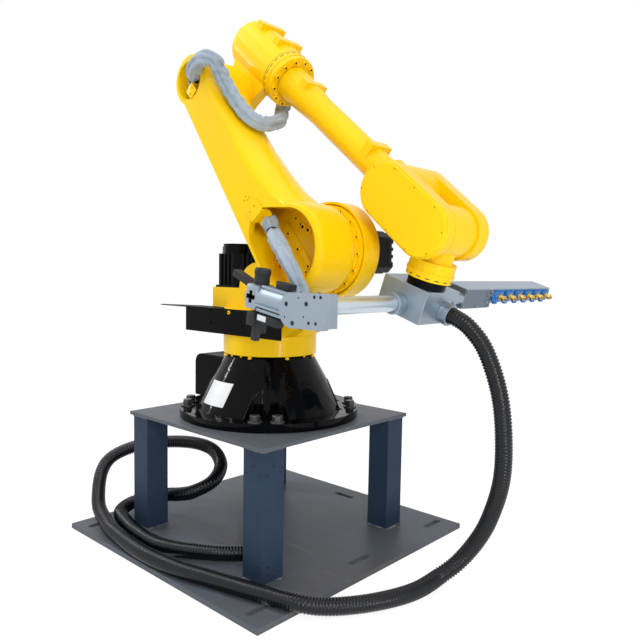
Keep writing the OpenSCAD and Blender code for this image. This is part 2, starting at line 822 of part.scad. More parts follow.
cylinder_pitch = 10;
cylinder_y = tube_end_y + cylinder_r + root;
module on_cylinder() {
    on_clamp() translate([clamp_back_x - clamp_plate_t, cylinder_y, clamp_drop]) rotate([0, 90 + cylinder_pitch, 0]) children();
}

module clamp_cylinder() {
    color(silver) on_cylinder() cylinder(r = cylinder_r, h = cylinder_len);
}

jaw_t = 24;
jaw_w = 34;
jaw_len = 118;
jaw_pitch = 14;
finger_len = 84;
module clamp_jaws() {
    color(black) on_cylinder() difference() {
        union() {
            translate([cylinder_r - jaw_t, -jaw_w / 2, cylinder_len]) rotate([0, jaw_pitch, 0])
                cube([jaw_t, jaw_w, jaw_len]);
            translate([-finger_len - cylinder_r, -jaw_w / 2, cylinder_len - 2 * jaw_w]) cube([finger_len + root, jaw_w, jaw_t]);
            translate([-finger_len / 2 - cylinder_r, -jaw_w, cylinder_len - 2 * jaw_w + jaw_t])
                cube([jaw_t, 2 * jaw_w, jaw_w]);
        }
        cylinder(r = cylinder_r, h = cylinder_len);
    }
}

port_r = 26;
port_len = 56;
plug_r = 9;
module clamp_fittings() {
    color("dimgray") on_cylinder() difference() {
        union() {
            translate([0, 0, cylinder_len - port_r - root]) rotate([0, 90, 0]) cylinder(r = port_r, h = cylinder_r + port_len);
            for (place = [1, 2]) translate([0, 0, place * cylinder_len / 4])
                rotate([0, 90, 0]) cylinder(r = plug_r, h = cylinder_r + port_len / 2);
        }
        cylinder(r = cylinder_r, h = cylinder_len);
    }
}

// Round spacer that carries the manifold on the far side of the block
boss_r = 26;
boss_x = -26;
boss_z = 40;
boss_len = 75;
module tool_boss() {
    color(silver) on_flange() translate([boss_x, 0, boss_z]) cross_cylinder(boss_r, block_far_y, block_far_y + boss_len);
}

manifold_near_y = block_far_y + boss_len;
plate_t = 12;
plate_w = 225;
plate_h = 78;
sheet_depth = 92;
sheet_t = 5;
manifold_front_x = boss_x - sheet_depth / 4;
manifold_top_z = boss_z - plate_h / 2;
manifold_start_y = manifold_near_y + plate_w;
module manifold_plate() {
    color(silver) on_flange() translate([manifold_front_x, manifold_near_y, manifold_top_z]) {
        cube([sheet_depth, plate_t, plate_h]);
        cube([plate_t, plate_w, plate_h]);
    }
}

slit_share = 0.16;
module manifold() {
    pitch = manifold_len / fitting_count;
    slit = pitch * slit_share;
    color(blue) on_flange() translate([manifold_front_x, manifold_start_y, manifold_top_z]) difference() {
        cube([manifold_t, manifold_len, manifold_h]);
        for (i = [1 : fitting_count - 1]) translate([-cut, pitch * i - slit / 2, slit])
            cube([manifold_t / 3 + cut, slit, manifold_h]);
    }
}

fitting_len = 42;
module manifold_fittings() {
    pitch = manifold_len / fitting_count;
    color(brass) on_flange() for (i = [1 : fitting_count])
        translate([manifold_front_x, manifold_start_y + pitch * (i - 1 / 2), manifold_top_z + manifold_h / 2])
            rotate([0, -90, 0]) cylinder(r = fitting_r, h = fitting_len);
}

module manifold_cover() {
    color(silver) on_flange() translate([manifold_front_x, manifold_near_y, manifold_top_z - sheet_t])
        cube([sheet_depth, plate_w + manifold_len, sheet_t]);
}

cuff_wall = 9;
cuff_len = 40;
spigot_y = 62;
spigot_z_share = 0.62;
module hose_spigot() {
    color(silver) on_flange() translate([block_front_x, spigot_y, block_h * spigot_z_share]) rotate([0, -90, 0]) difference() {
        cylinder(r = hose_r + cuff_wall, h = cuff_len);
        translate([0, 0, cuff_len / 2]) cylinder(r = hose_r + fit_gap, h = cuff_len);
    }
}

// Hose and sleeves

// The hose hangs from the spigot's pocket: distance ahead, to the side, and share of the pocket's height over the rest
hose_start = flange_face + (block_front_x - cuff_len / 2) * [sin(wrist_pitch), -cos(wrist_pitch)]
    + block_h * spigot_z_share * wrist_dir;
hang_foot_z = 48;
hang_ahead = [1, 36, 93, 159, 215, 236, 223, 167, 115, 53, 3];
hang_side = [0, 0, 4, 8, 12, 16, 36, 70, 76, 54, -6];
hang_share = [1, 0.988, 0.954, 0.875, 0.73, 0.571, 0.411, 0.256, 0.152, 0.057, 0];
hose_hang = [for (i = [0 : len(hang_share) - 1]) [hose_start[0] + hang_ahead[i], spigot_y + hang_side[i],
    hang_foot_z + hang_share[i] * (hose_start[1] - hang_foot_z)]];
// On the floor it lies along the plate and loops round the rear leg
hose_lay = [
    [876, -60, 33], [845, -180, 33], [785, -300, 33], [715, -405, 40], [640, -475, 55], [470, -524, 55],
    [300, -567, 55], [130, -607, 55], [-80, -622, 55], [-335, -594, 55], [-479, -560, 60], [-610, -522, 98],
    [-700, -455, 210], [-715, -375, 275], [-640, -245, 322], [-500, -110, 334], [-370, -50, 315], [-240, -90, 272],
    [-175, -185, 228], [-215, -265, 186], [-310, -274, 152], [-410, -276, 126], [-496, -318, 102], [-535, -395, 82],
    [-505, -468, 66], [-400, -505, 60], [-250, -532, 57], [-60, -530, 57], [150, -425, 60], [290, -285, 60]
];
hose_route = concat(hose_hang, hose_lay);
module tool_hose() {
    color(black) swept_tube(hose_route, hose_r);
}

coupling_wall = 4;
coupling_len = 70;
coupling_turn = 45;
module hose_coupling() {
    color(silver) translate(hose_route[len(hose_route) - 1]) rotate([0, 90, coupling_turn])
        translate([0, 0, fit_gap]) cylinder(r = hose_r + coupling_wall, h = coupling_len);
}

sleeve_r = 29;
// Upper sleeve about the elbow's axis: along the forearm, across, and up from it
upper_at_elbow = [
    [-35, -240.5, -40], [-35, -290, -40], [-30, -325, -30], [-16, -355, -5], [20, -385, 44], [43, -392, 83],
    [82, -388, 121], [107, -368, 132], [122, -340, 118], [155, -316, 93], [204, -299, 72], [265, -287, 56],
    [324, -273, 46], [357, -245, 43], [356, -195, 43], [309, -110, 40], [241, -25, 30], [196, 22, 24],
    [162, 42, 34], [150, 48, 48], [148, 48, 62]
];
upper_route = [for (p = upper_at_elbow) let (q = elbow + p[0] * forearm_dir + p[2] * forearm_up) [q[0], p[1], q[1]]];
module upper_sleeve() {
    color(cloth) swept_tube(upper_route, sleeve_r);
}

// Lower sleeve: the first points on the arm, across and along it, the others ahead of and above the shoulder's axis
lower_in_arm = [[-39, -306, 172], [-39, -306, 144], [-38, -325, 100], [-17, -359, 42]];
lower_on_turret = [
    [18, -385, -32], [62, -388, -87], [106, -386, -142], [118, -375, -187], [95, -330, -214],
    [50, -260, -224], [-20, -190, -218], [-24, -117, -216]
];
lower_route = concat(
    [for (p = lower_in_arm) [shoulder[0] + p[0] * cos(arm_lean) - p[2] * sin(arm_lean), p[1],
        shoulder[1] + p[0] * sin(arm_lean) + p[2] * cos(arm_lean)]],
    [for (p = lower_on_turret) [shoulder[0] + p[0], p[1], shoulder[1] + p[2]]]
);
module lower_sleeve() {
    color(cloth) swept_tube(lower_route, sleeve_r);
}

floor_plate();
leg_front_near();
leg_front_far();
leg_rear_near();
leg_rear_far();
top_plate();
robot_base();
connector_box();
base_label();
turret_ring();
turret_body();
base_motor();
base_motor_cap();
shoulder_motor();
shoulder_motor_cap();
side_bracket();
lower_arm();
sleeve_bracket();
elbow_housing();
elbow_flange();
forearm_tube();
wrist_fork();
wrist_cover_near();
wrist_cover_far();
wrist_body();
tool_flange();
tool_block();
tool_tube();
tube_collar();
clamp_plate();
clamp_body();
clamp_cylinder();
clamp_jaws();
clamp_fittings();
tool_boss();
manifold_plate();
manifold();
manifold_fittings();
manifold_cover();
hose_spigot();
tool_hose();
hose_coupling();
upper_sleeve();
lower_sleeve();
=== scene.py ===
"""Looks of an industrial robot arm on a steel pedestal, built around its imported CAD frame."""
import json
import math

import bmesh
import bpy
import numpy as np
from mathutils import Matrix, Vector


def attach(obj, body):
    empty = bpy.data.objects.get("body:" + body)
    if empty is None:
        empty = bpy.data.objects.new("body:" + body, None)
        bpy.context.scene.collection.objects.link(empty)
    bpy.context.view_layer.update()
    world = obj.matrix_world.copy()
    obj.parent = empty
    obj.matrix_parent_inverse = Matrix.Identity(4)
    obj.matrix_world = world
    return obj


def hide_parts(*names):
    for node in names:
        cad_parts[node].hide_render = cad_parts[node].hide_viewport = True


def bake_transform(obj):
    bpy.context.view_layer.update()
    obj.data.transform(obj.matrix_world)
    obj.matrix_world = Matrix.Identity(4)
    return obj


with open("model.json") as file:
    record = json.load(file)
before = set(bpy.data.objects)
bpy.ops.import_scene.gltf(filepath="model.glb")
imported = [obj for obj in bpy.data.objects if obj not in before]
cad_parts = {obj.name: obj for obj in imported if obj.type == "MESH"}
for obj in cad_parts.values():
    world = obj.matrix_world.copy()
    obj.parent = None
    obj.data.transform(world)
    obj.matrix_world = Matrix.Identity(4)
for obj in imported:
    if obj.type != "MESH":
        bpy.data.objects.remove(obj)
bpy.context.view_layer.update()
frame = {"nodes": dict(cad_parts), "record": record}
nodes = frame["nodes"]
bpy.context.scene.view_settings.view_transform = "Standard"

MM = 0.001
# Heights in millimetres
PEDESTAL_TOP = 550
BASE_TOP = 830
# Places of the arm's axes, in metres
SHOULDER = Vector((0.45, 0, 1.282))
ARM_LEAN = math.radians(39.3)
ARM_LEN = 0.915
FOREARM_PITCH = math.radians(-40.2)
ELBOW_OFFSET = 0.177
FOREARM_LEN = 1.2
WRIST_PITCH = math.radians(-109)
WRIST_LEN = 0.21


def along(pitch):
    return Vector((math.cos(pitch), 0, math.sin(pitch)))


def link_frame(place, pitch):
    """Frame whose Z runs along a link and whose X points to the link's underside."""
    return Matrix.Translation(place) @ Matrix.Rotation(math.pi / 2 - pitch, 4, "Y")


ELBOW = SHOULDER + ARM_LEN * Vector((-math.sin(ARM_LEAN), 0, math.cos(ARM_LEAN)))
FOREARM_FOOT = ELBOW + ELBOW_OFFSET * along(FOREARM_PITCH + math.pi / 2)
WRIST = FOREARM_FOOT + FOREARM_LEN * along(FOREARM_PITCH)
FLANGE_FACE = WRIST + WRIST_LEN * along(WRIST_PITCH)
ON_ARM = Matrix.Translation(SHOULDER) @ Matrix.Rotation(-ARM_LEAN, 4, "Y")
ON_FOREARM = link_frame(FOREARM_FOOT, FOREARM_PITCH)
ON_FORK = link_frame(WRIST, FOREARM_PITCH)
ON_WRIST = link_frame(WRIST, WRIST_PITCH)
ON_FLANGE = link_frame(FLANGE_FACE, WRIST_PITCH)


# Camera at the photograph's place
CAMERA_PLACE = (2.168, -2.021, 1.197)
CAMERA_HEADING = Vector((-0.6773, 0.7357, 0))
CAMERA_DIP = math.radians(4.227)
CAMERA_ROLL = math.radians(0.955)
SENSOR_WIDTH = 36
LENS = 36.52


def set_camera():
    forward = CAMERA_HEADING * math.cos(CAMERA_DIP) - Vector((0, 0, math.sin(CAMERA_DIP)))
    level = Vector((CAMERA_HEADING.y, -CAMERA_HEADING.x, 0))
    rise = level.cross(forward)
    right = level * math.cos(CAMERA_ROLL) + rise * math.sin(CAMERA_ROLL)
    up = rise * math.cos(CAMERA_ROLL) - level * math.sin(CAMERA_ROLL)
    data = bpy.data.cameras.new("camera")
    data.sensor_width, data.lens = SENSOR_WIDTH, LENS
    camera = bpy.data.objects.new("camera", data)
    bpy.context.scene.collection.objects.link(camera)
    turn = Matrix((right, up, -forward)).transposed().to_4x4()
    camera.matrix_world = Matrix.Translation(CAMERA_PLACE) @ turn
    bpy.context.scene.camera = camera


set_camera()


# Shader maths
class Wire:
    """A shader socket that grows Math nodes when it is used in an expression."""

    def __init__(self, paint, socket):
        self.paint, self.socket = paint, socket

    def maths(self, operation, other):
        return self.paint.add("ShaderNodeMath", {"operation": operation}, {0: self, 1: other})

    def __add__(self, other):
        return self.maths("ADD", other)

    def __mul__(self, other):
        return self.maths("MULTIPLY", other)

    __radd__, __rmul__ = __add__, __mul__

    def span(self, low, high):
        """0 at low, 1 at high, smooth between them."""
        return self.paint.add("ShaderNodeMapRange", {"interpolation_type": "SMOOTHSTEP"},
                              {"Value": self, "From Min": low, "From Max": high})


class Paint:
    def __init__(self, name):
        self.material = bpy.data.materials.new(name)
        self.material.use_nodes = True
        self.tree = self.material.node_tree
        self.surface = next(n for n in self.tree.nodes if n.type == "BSDF_PRINCIPLED")
        self.place = self.add("ShaderNodeTexCoord", {}, {}, "Object")

    def add(self, kind, settings, sockets, output=0):
        node = self.tree.nodes.new(kind)
        for name, value in settings.items():
            setattr(node, name, value)
        for name, value in sockets.items():
            self.plug(node.inputs[name], value)
        return Wire(self, node.outputs[output])

    def plug(self, socket, value):
        if isinstance(value, Wire):
            self.tree.links.new(value.socket, socket)
        elif socket.type == "RGBA":
            socket.default_value = (*value, 1)
        else:
            socket.default_value = value

    def noise(self, scale, detail, rough=0.5, where=None):
        return self.add("ShaderNodeTexNoise", {}, {"Vector": where or self.place, "Scale": scale,
                        "Detail": detail, "Roughness": rough}, "Fac")

    def stretched(self, scale, turn=(0, 0, 0)):
        return self.add("ShaderNodeMapping", {}, {"Vector": self.place, "Scale": scale, "Rotation": turn})

    def mix(self, share, a, b):
        node = self.tree.nodes.new("ShaderNodeMix")
        node.data_type = "RGBA"
        for socket, value in ((node.inputs[0], share), (node.inputs[6], a), (node.inputs[7], b)):
            self.plug(socket, value)
        return Wire(self, node.outputs[2])

    def bump(self, height, depth, strength):
        return self.add("ShaderNodeBump", {}, {"Height": height, "Distance": depth, "Strength": strength})

    def finish(self, **sockets):
        for name, value in sockets.items():
            self.plug(self.surface.inputs[name.replace("_", " ")], value)
        return self.material


def make_yellow_paint():
    p = Paint("yellow_paint")
    cloud, dirt, grit = p.noise(2.2, 4), p.noise(9, 6, 0.7), p.noise(170, 2)
    tone = p.mix(cloud.span(0.3, 0.7), (0.97, 0.59, 0.003), (0.99, 0.645, 0.005))
    soiled = p.mix(dirt.span(0.62, 0.82) * 0.35, tone, (0.7, 0.39, 0.01))
    return p.finish(Base_Color=soiled, Roughness=dirt * 0.12 + 0.2, Normal=p.bump(grit, 0.0006, 0.25),
                    Specular_IOR_Level=0.12, Coat_Weight=0.07, Coat_Roughness=0.06)


def make_black_gloss():
    p = Paint("black_gloss")
    dust, grit, wave = p.noise(14, 5, 0.65), p.noise(120, 2), p.noise(9, 2)
    tone = p.mix(dust.span(0.58, 0.8) * 0.5, (0.002, 0.0022, 0.003), (0.012, 0.0125, 0.014))
    return p.finish(Base_Color=tone, Roughness=dust * 0.05 + 0.04, Specular_IOR_Level=0.09,
                    Normal=p.bump(wave * 6 + grit * 0.3, 0.0012, 0.5))


def make_black_satin():
    p = Paint("black_satin")
    dust, grit = p.noise(16, 5, 0.65), p.noise(420, 2)
    tone = p.mix(dust.span(0.5, 0.85) * 0.6, (0.002, 0.002, 0.0025), (0.007, 0.007, 0.008))
    return p.finish(Base_Color=tone, Roughness=dust * 0.2 + 0.34, Specular_IOR_Level=0.05,
                    Normal=p.bump(grit, 0.0004, 0.4))


def make_steel_paint():
    p = Paint("steel_paint")
    cloud, scuff, grit = p.noise(3.1, 5, 0.6), p.noise(23, 8, 0.75), p.noise(260, 3)
    streak = p.noise(6, 6, 0.7, p.stretched((1, 9, 1), (0, 0, 0.6)))
    tone = p.mix(cloud.span(0.3, 0.7), (0.022, 0.04, 0.074), (0.032, 0.054, 0.092))
    worn = p.mix(scuff.span(0.63, 0.78) * 0.4, tone, (0.1, 0.125, 0.16))
    marked = p.mix(streak.span(0.62, 0.8) * 0.3, worn, (0.09, 0.11, 0.145))
    return p.finish(Base_Color=marked, Roughness=cloud * 0.2 + 0.36, Specular_IOR_Level=0.1,
                    Normal=p.bump(grit + scuff, 0.0005, 0.35))


# The metal's tint is darker and bluer than bare aluminium: painted reflection of blue-grey surroundings; the
# brushed grain and spots are the metal's own
def make_aluminium(name="aluminium", tint_and_painted_reflection=(0.36, 0.43, 0.505), rough=0.32):
    p = Paint(name)
    grain = p.noise(30, 4, 0.6, p.stretched((1, 22, 1)))
    spot, cloud = p.noise(48, 6, 0.7), p.noise(5, 3)
    dark = tuple(c * 0.8 for c in tint_and_painted_reflection)
    tone = p.mix(grain * 0.5 + cloud * 0.5, dark, tint_and_painted_reflection)
    stained = p.mix(spot.span(0.6, 0.8) * 0.4, tone, tuple(c * 0.5 for c in tint_and_painted_reflection))
    return p.finish(Base_Color=stained, Metallic=0.85, Roughness=grain * 0.18 + rough,
                    Normal=p.bump(grain, 0.0004, 0.4))


def make_blue_anodised():
    p = Paint("blue_anodised")
    grain, cloud = p.noise(60, 4, 0.6), p.noise(12, 3)
    tone = p.mix(cloud, (0.01, 0.13, 0.42), (0.022, 0.2, 0.55))
    return p.finish(Base_Color=tone, Metallic=0.35, Roughness=grain * 0.15 + 0.28,
                    Normal=p.bump(grain, 0.0003, 0.3))


def make_brass():
    p = Paint("turned_brass")
    ring = p.noise(90, 3, 0.6)
    tone = p.mix(ring, (0.5, 0.32, 0.08), (0.72, 0.52, 0.18))
    return p.finish(Base_Color=tone, Metallic=0.9, Roughness=ring * 0.2 + 0.22,
                    Normal=p.bump(ring, 0.0003, 0.3))


def make_bare_plate():
    p = Paint("bare_plate")
    smear, grit = p.noise(24, 5, 0.6), p.noise(220, 2)
    tone = p.mix(smear.span(0.45, 0.8) * 0.4, (0.74, 0.77, 0.79), (0.52, 0.55, 0.58))
    return p.finish(Base_Color=tone, Roughness=smear * 0.2 + 0.3, Metallic=0.15,
                    Normal=p.bump(grit, 0.0003, 0.2))


def make_hose_rubber():
    p = Paint("hose_rubber")
    dust, grit = p.noise(13, 5, 0.65), p.noise(300, 2)
    tone = p.mix(dust.span(0.52, 0.8) * 0.7, (0.004, 0.005, 0.008), (0.014, 0.017, 0.022))
    return p.finish(Base_Color=tone, Roughness=dust * 0.2 + 0.16, Specular_IOR_Level=0.32,
                    Normal=p.bump(grit, 0.0003, 0.3))


def make_sleeve_cloth():
    p = Paint("sleeve_cloth")
    fold_and_painted_shade, fuzz = p.noise(26, 5, 0.6), p.noise(420, 3)
    weave = (p.add("ShaderNodeTexWave", {"bands_direction": "DIAGONAL"}, {"Vector": p.place, "Scale": 260.0,
             "Distortion": 1.5}, "Fac") + fuzz) * 0.5
    # The colour follows the bumped folds and is darker in their hollows: painted shade in the fold hollows;
    # the weave is the cloth's own pattern
    tone = p.mix(fold_and_painted_shade.span(0.3, 0.7), (0.24, 0.31, 0.385), (0.36, 0.44, 0.52))
    thread = p.mix(weave * 0.4, tone, (0.42, 0.5, 0.57))
    return p.finish(Base_Color=thread, Roughness=0.72 + fold_and_painted_shade * 0.16, Sheen_Weight=0.25, Sheen_Roughness=0.5,
                    Normal=p.bump(fold_and_painted_shade * 5 + weave * 0.1, 0.004, 0.3))


def make_bolt_steel():
    p = Paint("bolt_steel")
    grime = p.noise(70, 4, 0.6)
    tone = p.mix(grime, (0.03, 0.03, 0.033), (0.11, 0.11, 0.115))
    return p.finish(Base_Color=tone, Metallic=0.7, Roughness=grime * 0.2 + 0.28)


def make_weld():
    p = Paint("weld_bead")
    ripple, burn = p.noise(160, 4, 0.6), p.noise(28, 5, 0.7)
    tone = p.mix(burn.span(0.4, 0.7), (0.05, 0.058, 0.072), (0.24, 0.25, 0.26))
    return p.finish(Base_Color=tone, Roughness=ripple * 0.2 + 0.4, Specular_IOR_Level=0.3,
                    Normal=p.bump(ripple, 0.002, 0.7))


# Steel paint of the floor and top plates: a lighter copy of the legs' steel paint, which is painted light
# falling from above on the plates' top faces; its wipes and scuffs are wear
def make_lit_plate_steel():
    p = Paint("lit_plate_steel")
    cloud, scuff, grit = p.noise(2.4, 6, 0.62), p.noise(17, 8, 0.75), p.noise(240, 3)
    wipe = p.noise(3.2, 7, 0.7, p.stretched((1, 4, 1), (0, 0, 0.7)))
    tone = p.mix(cloud.span(0.36, 0.66), (0.095, 0.114, 0.142), (0.108, 0.11, 0.12))
    wiped = p.mix(wipe.span(0.54, 0.74) * 0.6, tone, (0.18, 0.2, 0.22))
    worn = p.mix(scuff.span(0.64, 0.8) * 0.4, wiped, (0.24, 0.255, 0.275))
    return p.finish(Base_Color=worn, Roughness=wipe * 0.3 + 0.28, Specular_IOR_Level=0.15,
                    Normal=p.bump(grit + scuff, 0.0004, 0.35))


def make_grey_plastic():
    p = Paint("grey_plastic")
    dust, grit = p.noise(22, 4, 0.6), p.noise(350, 2)
    tone = p.mix(dust, (0.016, 0.017, 0.02), (0.036, 0.038, 0.043))
    return p.finish(Base_Color=tone, Roughness=dust * 0.2 + 0.4, Specular_IOR_Level=0.2,
                    Normal=p.bump(grit, 0.0003, 0.3))


def make_recess_shade():
    p = Paint("recess_shade")
    grime = p.noise(90, 3, 0.6)
    tone = p.mix(grime, (0.006, 0.005, 0.004), (0.02, 0.016, 0.012))
    return p.finish(Base_Color=tone, Roughness=grime * 0.2 + 0.55)


YELLOW = make_yellow_paint()
GLOSS = make_black_gloss()
SATIN = make_black_satin()
GREY = make_grey_plastic()
WELD = make_weld()
LIT_PLATE_STEEL = make_lit_plate_steel()
STEEL = make_steel_paint()
# The three aluminium tints carry the painted blue-grey reflection
ALUMINIUM = make_aluminium()
DULL = make_aluminium("dull_aluminium", (0.2, 0.235, 0.285), 0.42)
BRIGHT = make_aluminium("bright_aluminium", (0.66, 0.75, 0.81), 0.24)
BLUE = make_blue_anodised()
BRASS = make_brass()
PLATE = make_bare_plate()
HOSE = make_hose_rubber()
CLOTH = make_sleeve_cloth()
BOLT = make_bolt_steel()
SHADE = make_recess_shade()

FINISHES = {"yellow_paint": YELLOW, "black_gloss": GLOSS, "black_plastic": SATIN, "steel_paint": STEEL,
            "aluminium": ALUMINIUM, "blue": BLUE, "brass": BRASS, "bare_label": PLATE, "hose_rubber": HOSE,
            "sleeve_cloth": CLOTH}
# The floor and top plates take the lighter copy of the steel paint: painted light from above
OWN_FINISH = {"floor_plate": LIT_PLATE_STEEL, "top_plate": LIT_PLATE_STEEL, "tool_tube": BRIGHT,
              "clamp_fittings": GREY, "clamp_jaws": GREY, "manifold_plate": DULL}
for part in frame["record"]["subparts"]:
    mesh = nodes[part["node"]].data
    mesh.materials.clear()
    mesh.materials.append(OWN_FINISH.get(part["node"], FINISHES[part["material_slot"]]))


# Curves and skins of the flexible pieces
PER_SPAN = 24
FIRST_ACROSS = (0.31, 0.2, 0.93)


def smooth_route(points, step):
    """Points about a step apart on a smooth curve through the route's points."""
    pts = np.array(points, float)
    pts = np.vstack([2 * pts[0] - pts[1], pts, 2 * pts[-1] - pts[-2]])
    line = []
    for a, b, c, d in zip(pts, pts[1:], pts[2:], pts[3:]):
        t = np.linspace(0, 1, PER_SPAN, endpoint=False)[:, None]
        line.append(0.5 * (2 * b + (c - a) * t + (2 * a - 5 * b + 4 * c - d) * t ** 2
                           + (3 * b - a - 3 * c + d) * t ** 3))
    line = np.vstack(line + [pts[-2:-1]])
    gone = np.concatenate([[0], np.cumsum(np.linalg.norm(np.diff(line, axis=0), axis=1))])
    spots = np.linspace(0, gone[-1], max(2, round(gone[-1] / step)) + 1)
    return np.stack([np.interp(spots, gone, line[:, k]) for k in range(3)], axis=1), gone[-1]


def headings(line):
    """The line's direction at each of its points."""
    heading = np.gradient(line, axis=0)
    return heading / np.linalg.norm(heading, axis=1)[:, None]


def carried_frames(line):
    """Two directions across the line at each point, carried along it without twist."""
    heading = headings(line)
    across = np.cross(heading[0], FIRST_ACROSS)
    frames = []
    for t in heading:
        across = across - (across @ t) * t
        across /= np.linalg.norm(across)
        frames.append((across, np.cross(t, across)))
    return frames


def turns(sides):
    return np.linspace(0, 2 * math.pi, sides, endpoint=False)


def spokes(line, sides):
    """Directions from the line out to the corners of a ring at each of its points."""
    turn = turns(sides)[:, None]
    return [np.cos(turn) * a + np.sin(turn) * b for a, b in carried_frames(line)]


def skin(name, rings, material):
    """Closed skin over rings of points, the first and last filled."""
    count, sides = len(rings), len(rings[0])
    verts = [tuple(v) for ring in rings for v in ring]
    faces = []
    for low in range(0, (count - 1) * sides, sides):
        high = low + sides
        for k in range(sides):
            after = (k + 1) % sides
            faces.append((low + k, low + after, high + after, high + k))
    faces += [tuple(range(sides - 1, -1, -1)), tuple((count - 1) * sides + k for k in range(sides))]
    mesh = bpy.data.meshes.new(name)
    mesh.from_pydata(verts, [], faces)
    mesh.shade_smooth()
    mesh.materials.append(material)
    piece = bpy.data.objects.new(name, mesh)
    bpy.context.scene.collection.objects.link(piece)
    return piece


def placed(base, points):
    """Points in millimetres of a base's axes, as metres in the shared frame."""
    return np.array([base @ (MM * Vector(p)) for p in points])


# Hose route in millimetres: the hang as ahead, aside and share of the drop, then the lay on the floor
HOSE_START = (888.77, 62, 1050.28)
HANG_FOOT = 48
HANG = [(1, 0, 1), (36, 0, 0.988), (93, 4, 0.954), (159, 8, 0.875), (215, 12, 0.73), (236, 16, 0.571),
        (223, 36, 0.411), (167, 70, 0.256), (115, 76, 0.152), (53, 54, 0.057), (3, -6, 0)]
LAY = [(876, -60, 33), (845, -180, 33), (785, -300, 33), (715, -405, 40), (640, -475, 55),
       (470, -524, 55), (300, -567, 55), (130, -607, 55), (-80, -622, 55), (-335, -594, 55),
       (-479, -560, 60), (-610, -522, 98), (-700, -455, 210), (-715, -375, 275), (-640, -245, 322),
       (-500, -110, 334), (-370, -50, 315), (-240, -90, 272), (-175, -185, 228), (-215, -265, 186),
       (-310, -274, 152), (-410, -276, 126), (-496, -318, 102), (-535, -395, 82), (-505, -468, 66),
       (-400, -505, 60), (-250, -532, 57), (-60, -530, 57), (150, -425, 60), (290, -285, 60)]
DROP = HOSE_START[2] - HANG_FOOT
HANG_ROUTE = [(HOSE_START[0] + ahead, HOSE_START[1] + aside, HANG_FOOT + share * DROP)
              for ahead, aside, share in HANG]
HOSE_ROUTE = MM * np.array(HANG_ROUTE + LAY)

# Upper sleeve about the elbow: along the forearm, to the left and up from the forearm
UPPER_SPOTS = [
    (-18, -240.5, -28), (-14, -290, -22), (-6, -325, -4), (8, -355, 26), (34, -382, 74), (58, -390, 110),
    (90, -386, 140), (114, -366, 143), (124, -340, 122), (155, -316, 93), (204, -299, 72), (265, -287, 56),
    (324, -273, 46), (357, -245, 43), (356, -195, 43), (309, -110, 40), (241, -25, 30), (196, 22, 24),
    (162, 42, 34), (150, 48, 52), (147, 48, 96)]
UPPER_ROUTE = placed(link_frame(ELBOW, FOREARM_PITCH),
                     [(-up, left, ahead) for ahead, left, up in UPPER_SPOTS])

# Lower sleeve: the first spots in the arm's axes, the rest about the shoulder
DRUM_SPOTS = [(-39, -306, 172), (-39, -306, 144), (-36, -325, 104), (-8, -359, 36)]
SHOULDER_SPOTS = [
    (38, -385, -32), (82, -388, -87), (116, -386, -140), (122, -375, -187), (95, -330, -214),
    (50, -260, -224), (-20, -190, -218), (-24, -117, -216)]
LOWER_ROUTE = np.vstack([placed(ON_ARM, DRUM_SPOTS), placed(Matrix.Translation(SHOULDER), SHOULDER_SPOTS)])

# Hose sizes, in metres
HOSE_STEP = 0.004
HOSE_SIDES = 18
RIB_RADII = (0.0318, 0.0275, 0.0308)

# Sleeve sizes, in metres
SLEEVE_R = 0.0305
SLEEVE_STEP = 0.004
SLEEVE_SIDES = 48
SLEEVE_SLACK = 0.0035
FOLD_DEPTH = 0.02
CREASE_DEPTH = 0.007
BEND_CREASE = 0.013
TIE_REACH = 0.02
TIE_DEPTH = 0.008
TIE_R = SLEEVE_R - 0.0085
MOUTH_FLARE = 0.004
MOUTH_GAP = 0.01

# Sleeve folds: the bend per metre that creases most, a wave's mean height and the share a tie flattens
TIGHT_BEND = 9
MEAN_WAVE = 0.64
TIE_HOLD = 0.85


def make_hose():
    line, length = smooth_route(HOSE_ROUTE, HOSE_STEP)
    rings = [p + RIB_RADII[i % 3] * out for i, (p, out) in enumerate(zip(line, spokes(line, HOSE_SIDES)))]
    hose = skin("ribbed_hose", rings, HOSE)
    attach(hose, "pedestal")
    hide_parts("tool_hose")


def waves(turn, s, rows):
    """Mean of several rounded waves round the sleeve and along it, about zero."""
    return sum(np.abs(np.sin((k * turn + f * s + o) / 2)) for k, f, o in rows) / len(rows) - MEAN_WAVE


def make_sleeve(name, node, route, bodies, tie, seed):
    """A loose cloth sleeve: long folds, creases inside its bends and a waist at its tie."""
    line, _ = smooth_route(route, SLEEVE_STEP)
    bend = np.gradient(headings(line), axis=0) / SLEEVE_STEP
    turn = turns(SLEEVE_SIDES)
    outward = spokes(line, SLEEVE_SIDES)
    draw = np.random.default_rng(seed)
    folds = [(draw.integers(3, 7), draw.uniform(-16, 16), draw.uniform(0, 6.28)) for _ in range(3)]
    creases = [(draw.integers(1, 4), draw.uniform(60, 150), draw.uniform(0, 6.28)) for _ in range(4)]
    rings = []
    for i, (p, out) in enumerate(zip(line, outward)):
        s = i * SLEEVE_STEP
        inner = np.clip(out @ bend[i] / TIGHT_BEND, 0, 1)
        gather = math.exp(-((s - tie) / TIE_REACH) ** 2)
        flare = MOUTH_FLARE * (s < tie - MOUTH_GAP)
        crease_depth = CREASE_DEPTH + BEND_CREASE * inner
        cloth = FOLD_DEPTH * waves(turn, s, folds) + crease_depth * waves(turn, s, creases)
        r = SLEEVE_R - SLEEVE_SLACK + (1 - TIE_HOLD * gather) * cloth - TIE_DEPTH * gather + flare
        rings.append(p + r[:, None] * out)
    sleeve = skin(name, rings, CLOTH)
    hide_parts(node)
    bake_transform(sleeve)
    first = round(tie / SLEEVE_STEP)
    band = skin(name + "_tie", [line[k] + TIE_R * outward[k] for k in range(first, first + 3)], SATIN)
    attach(band, bodies[0])


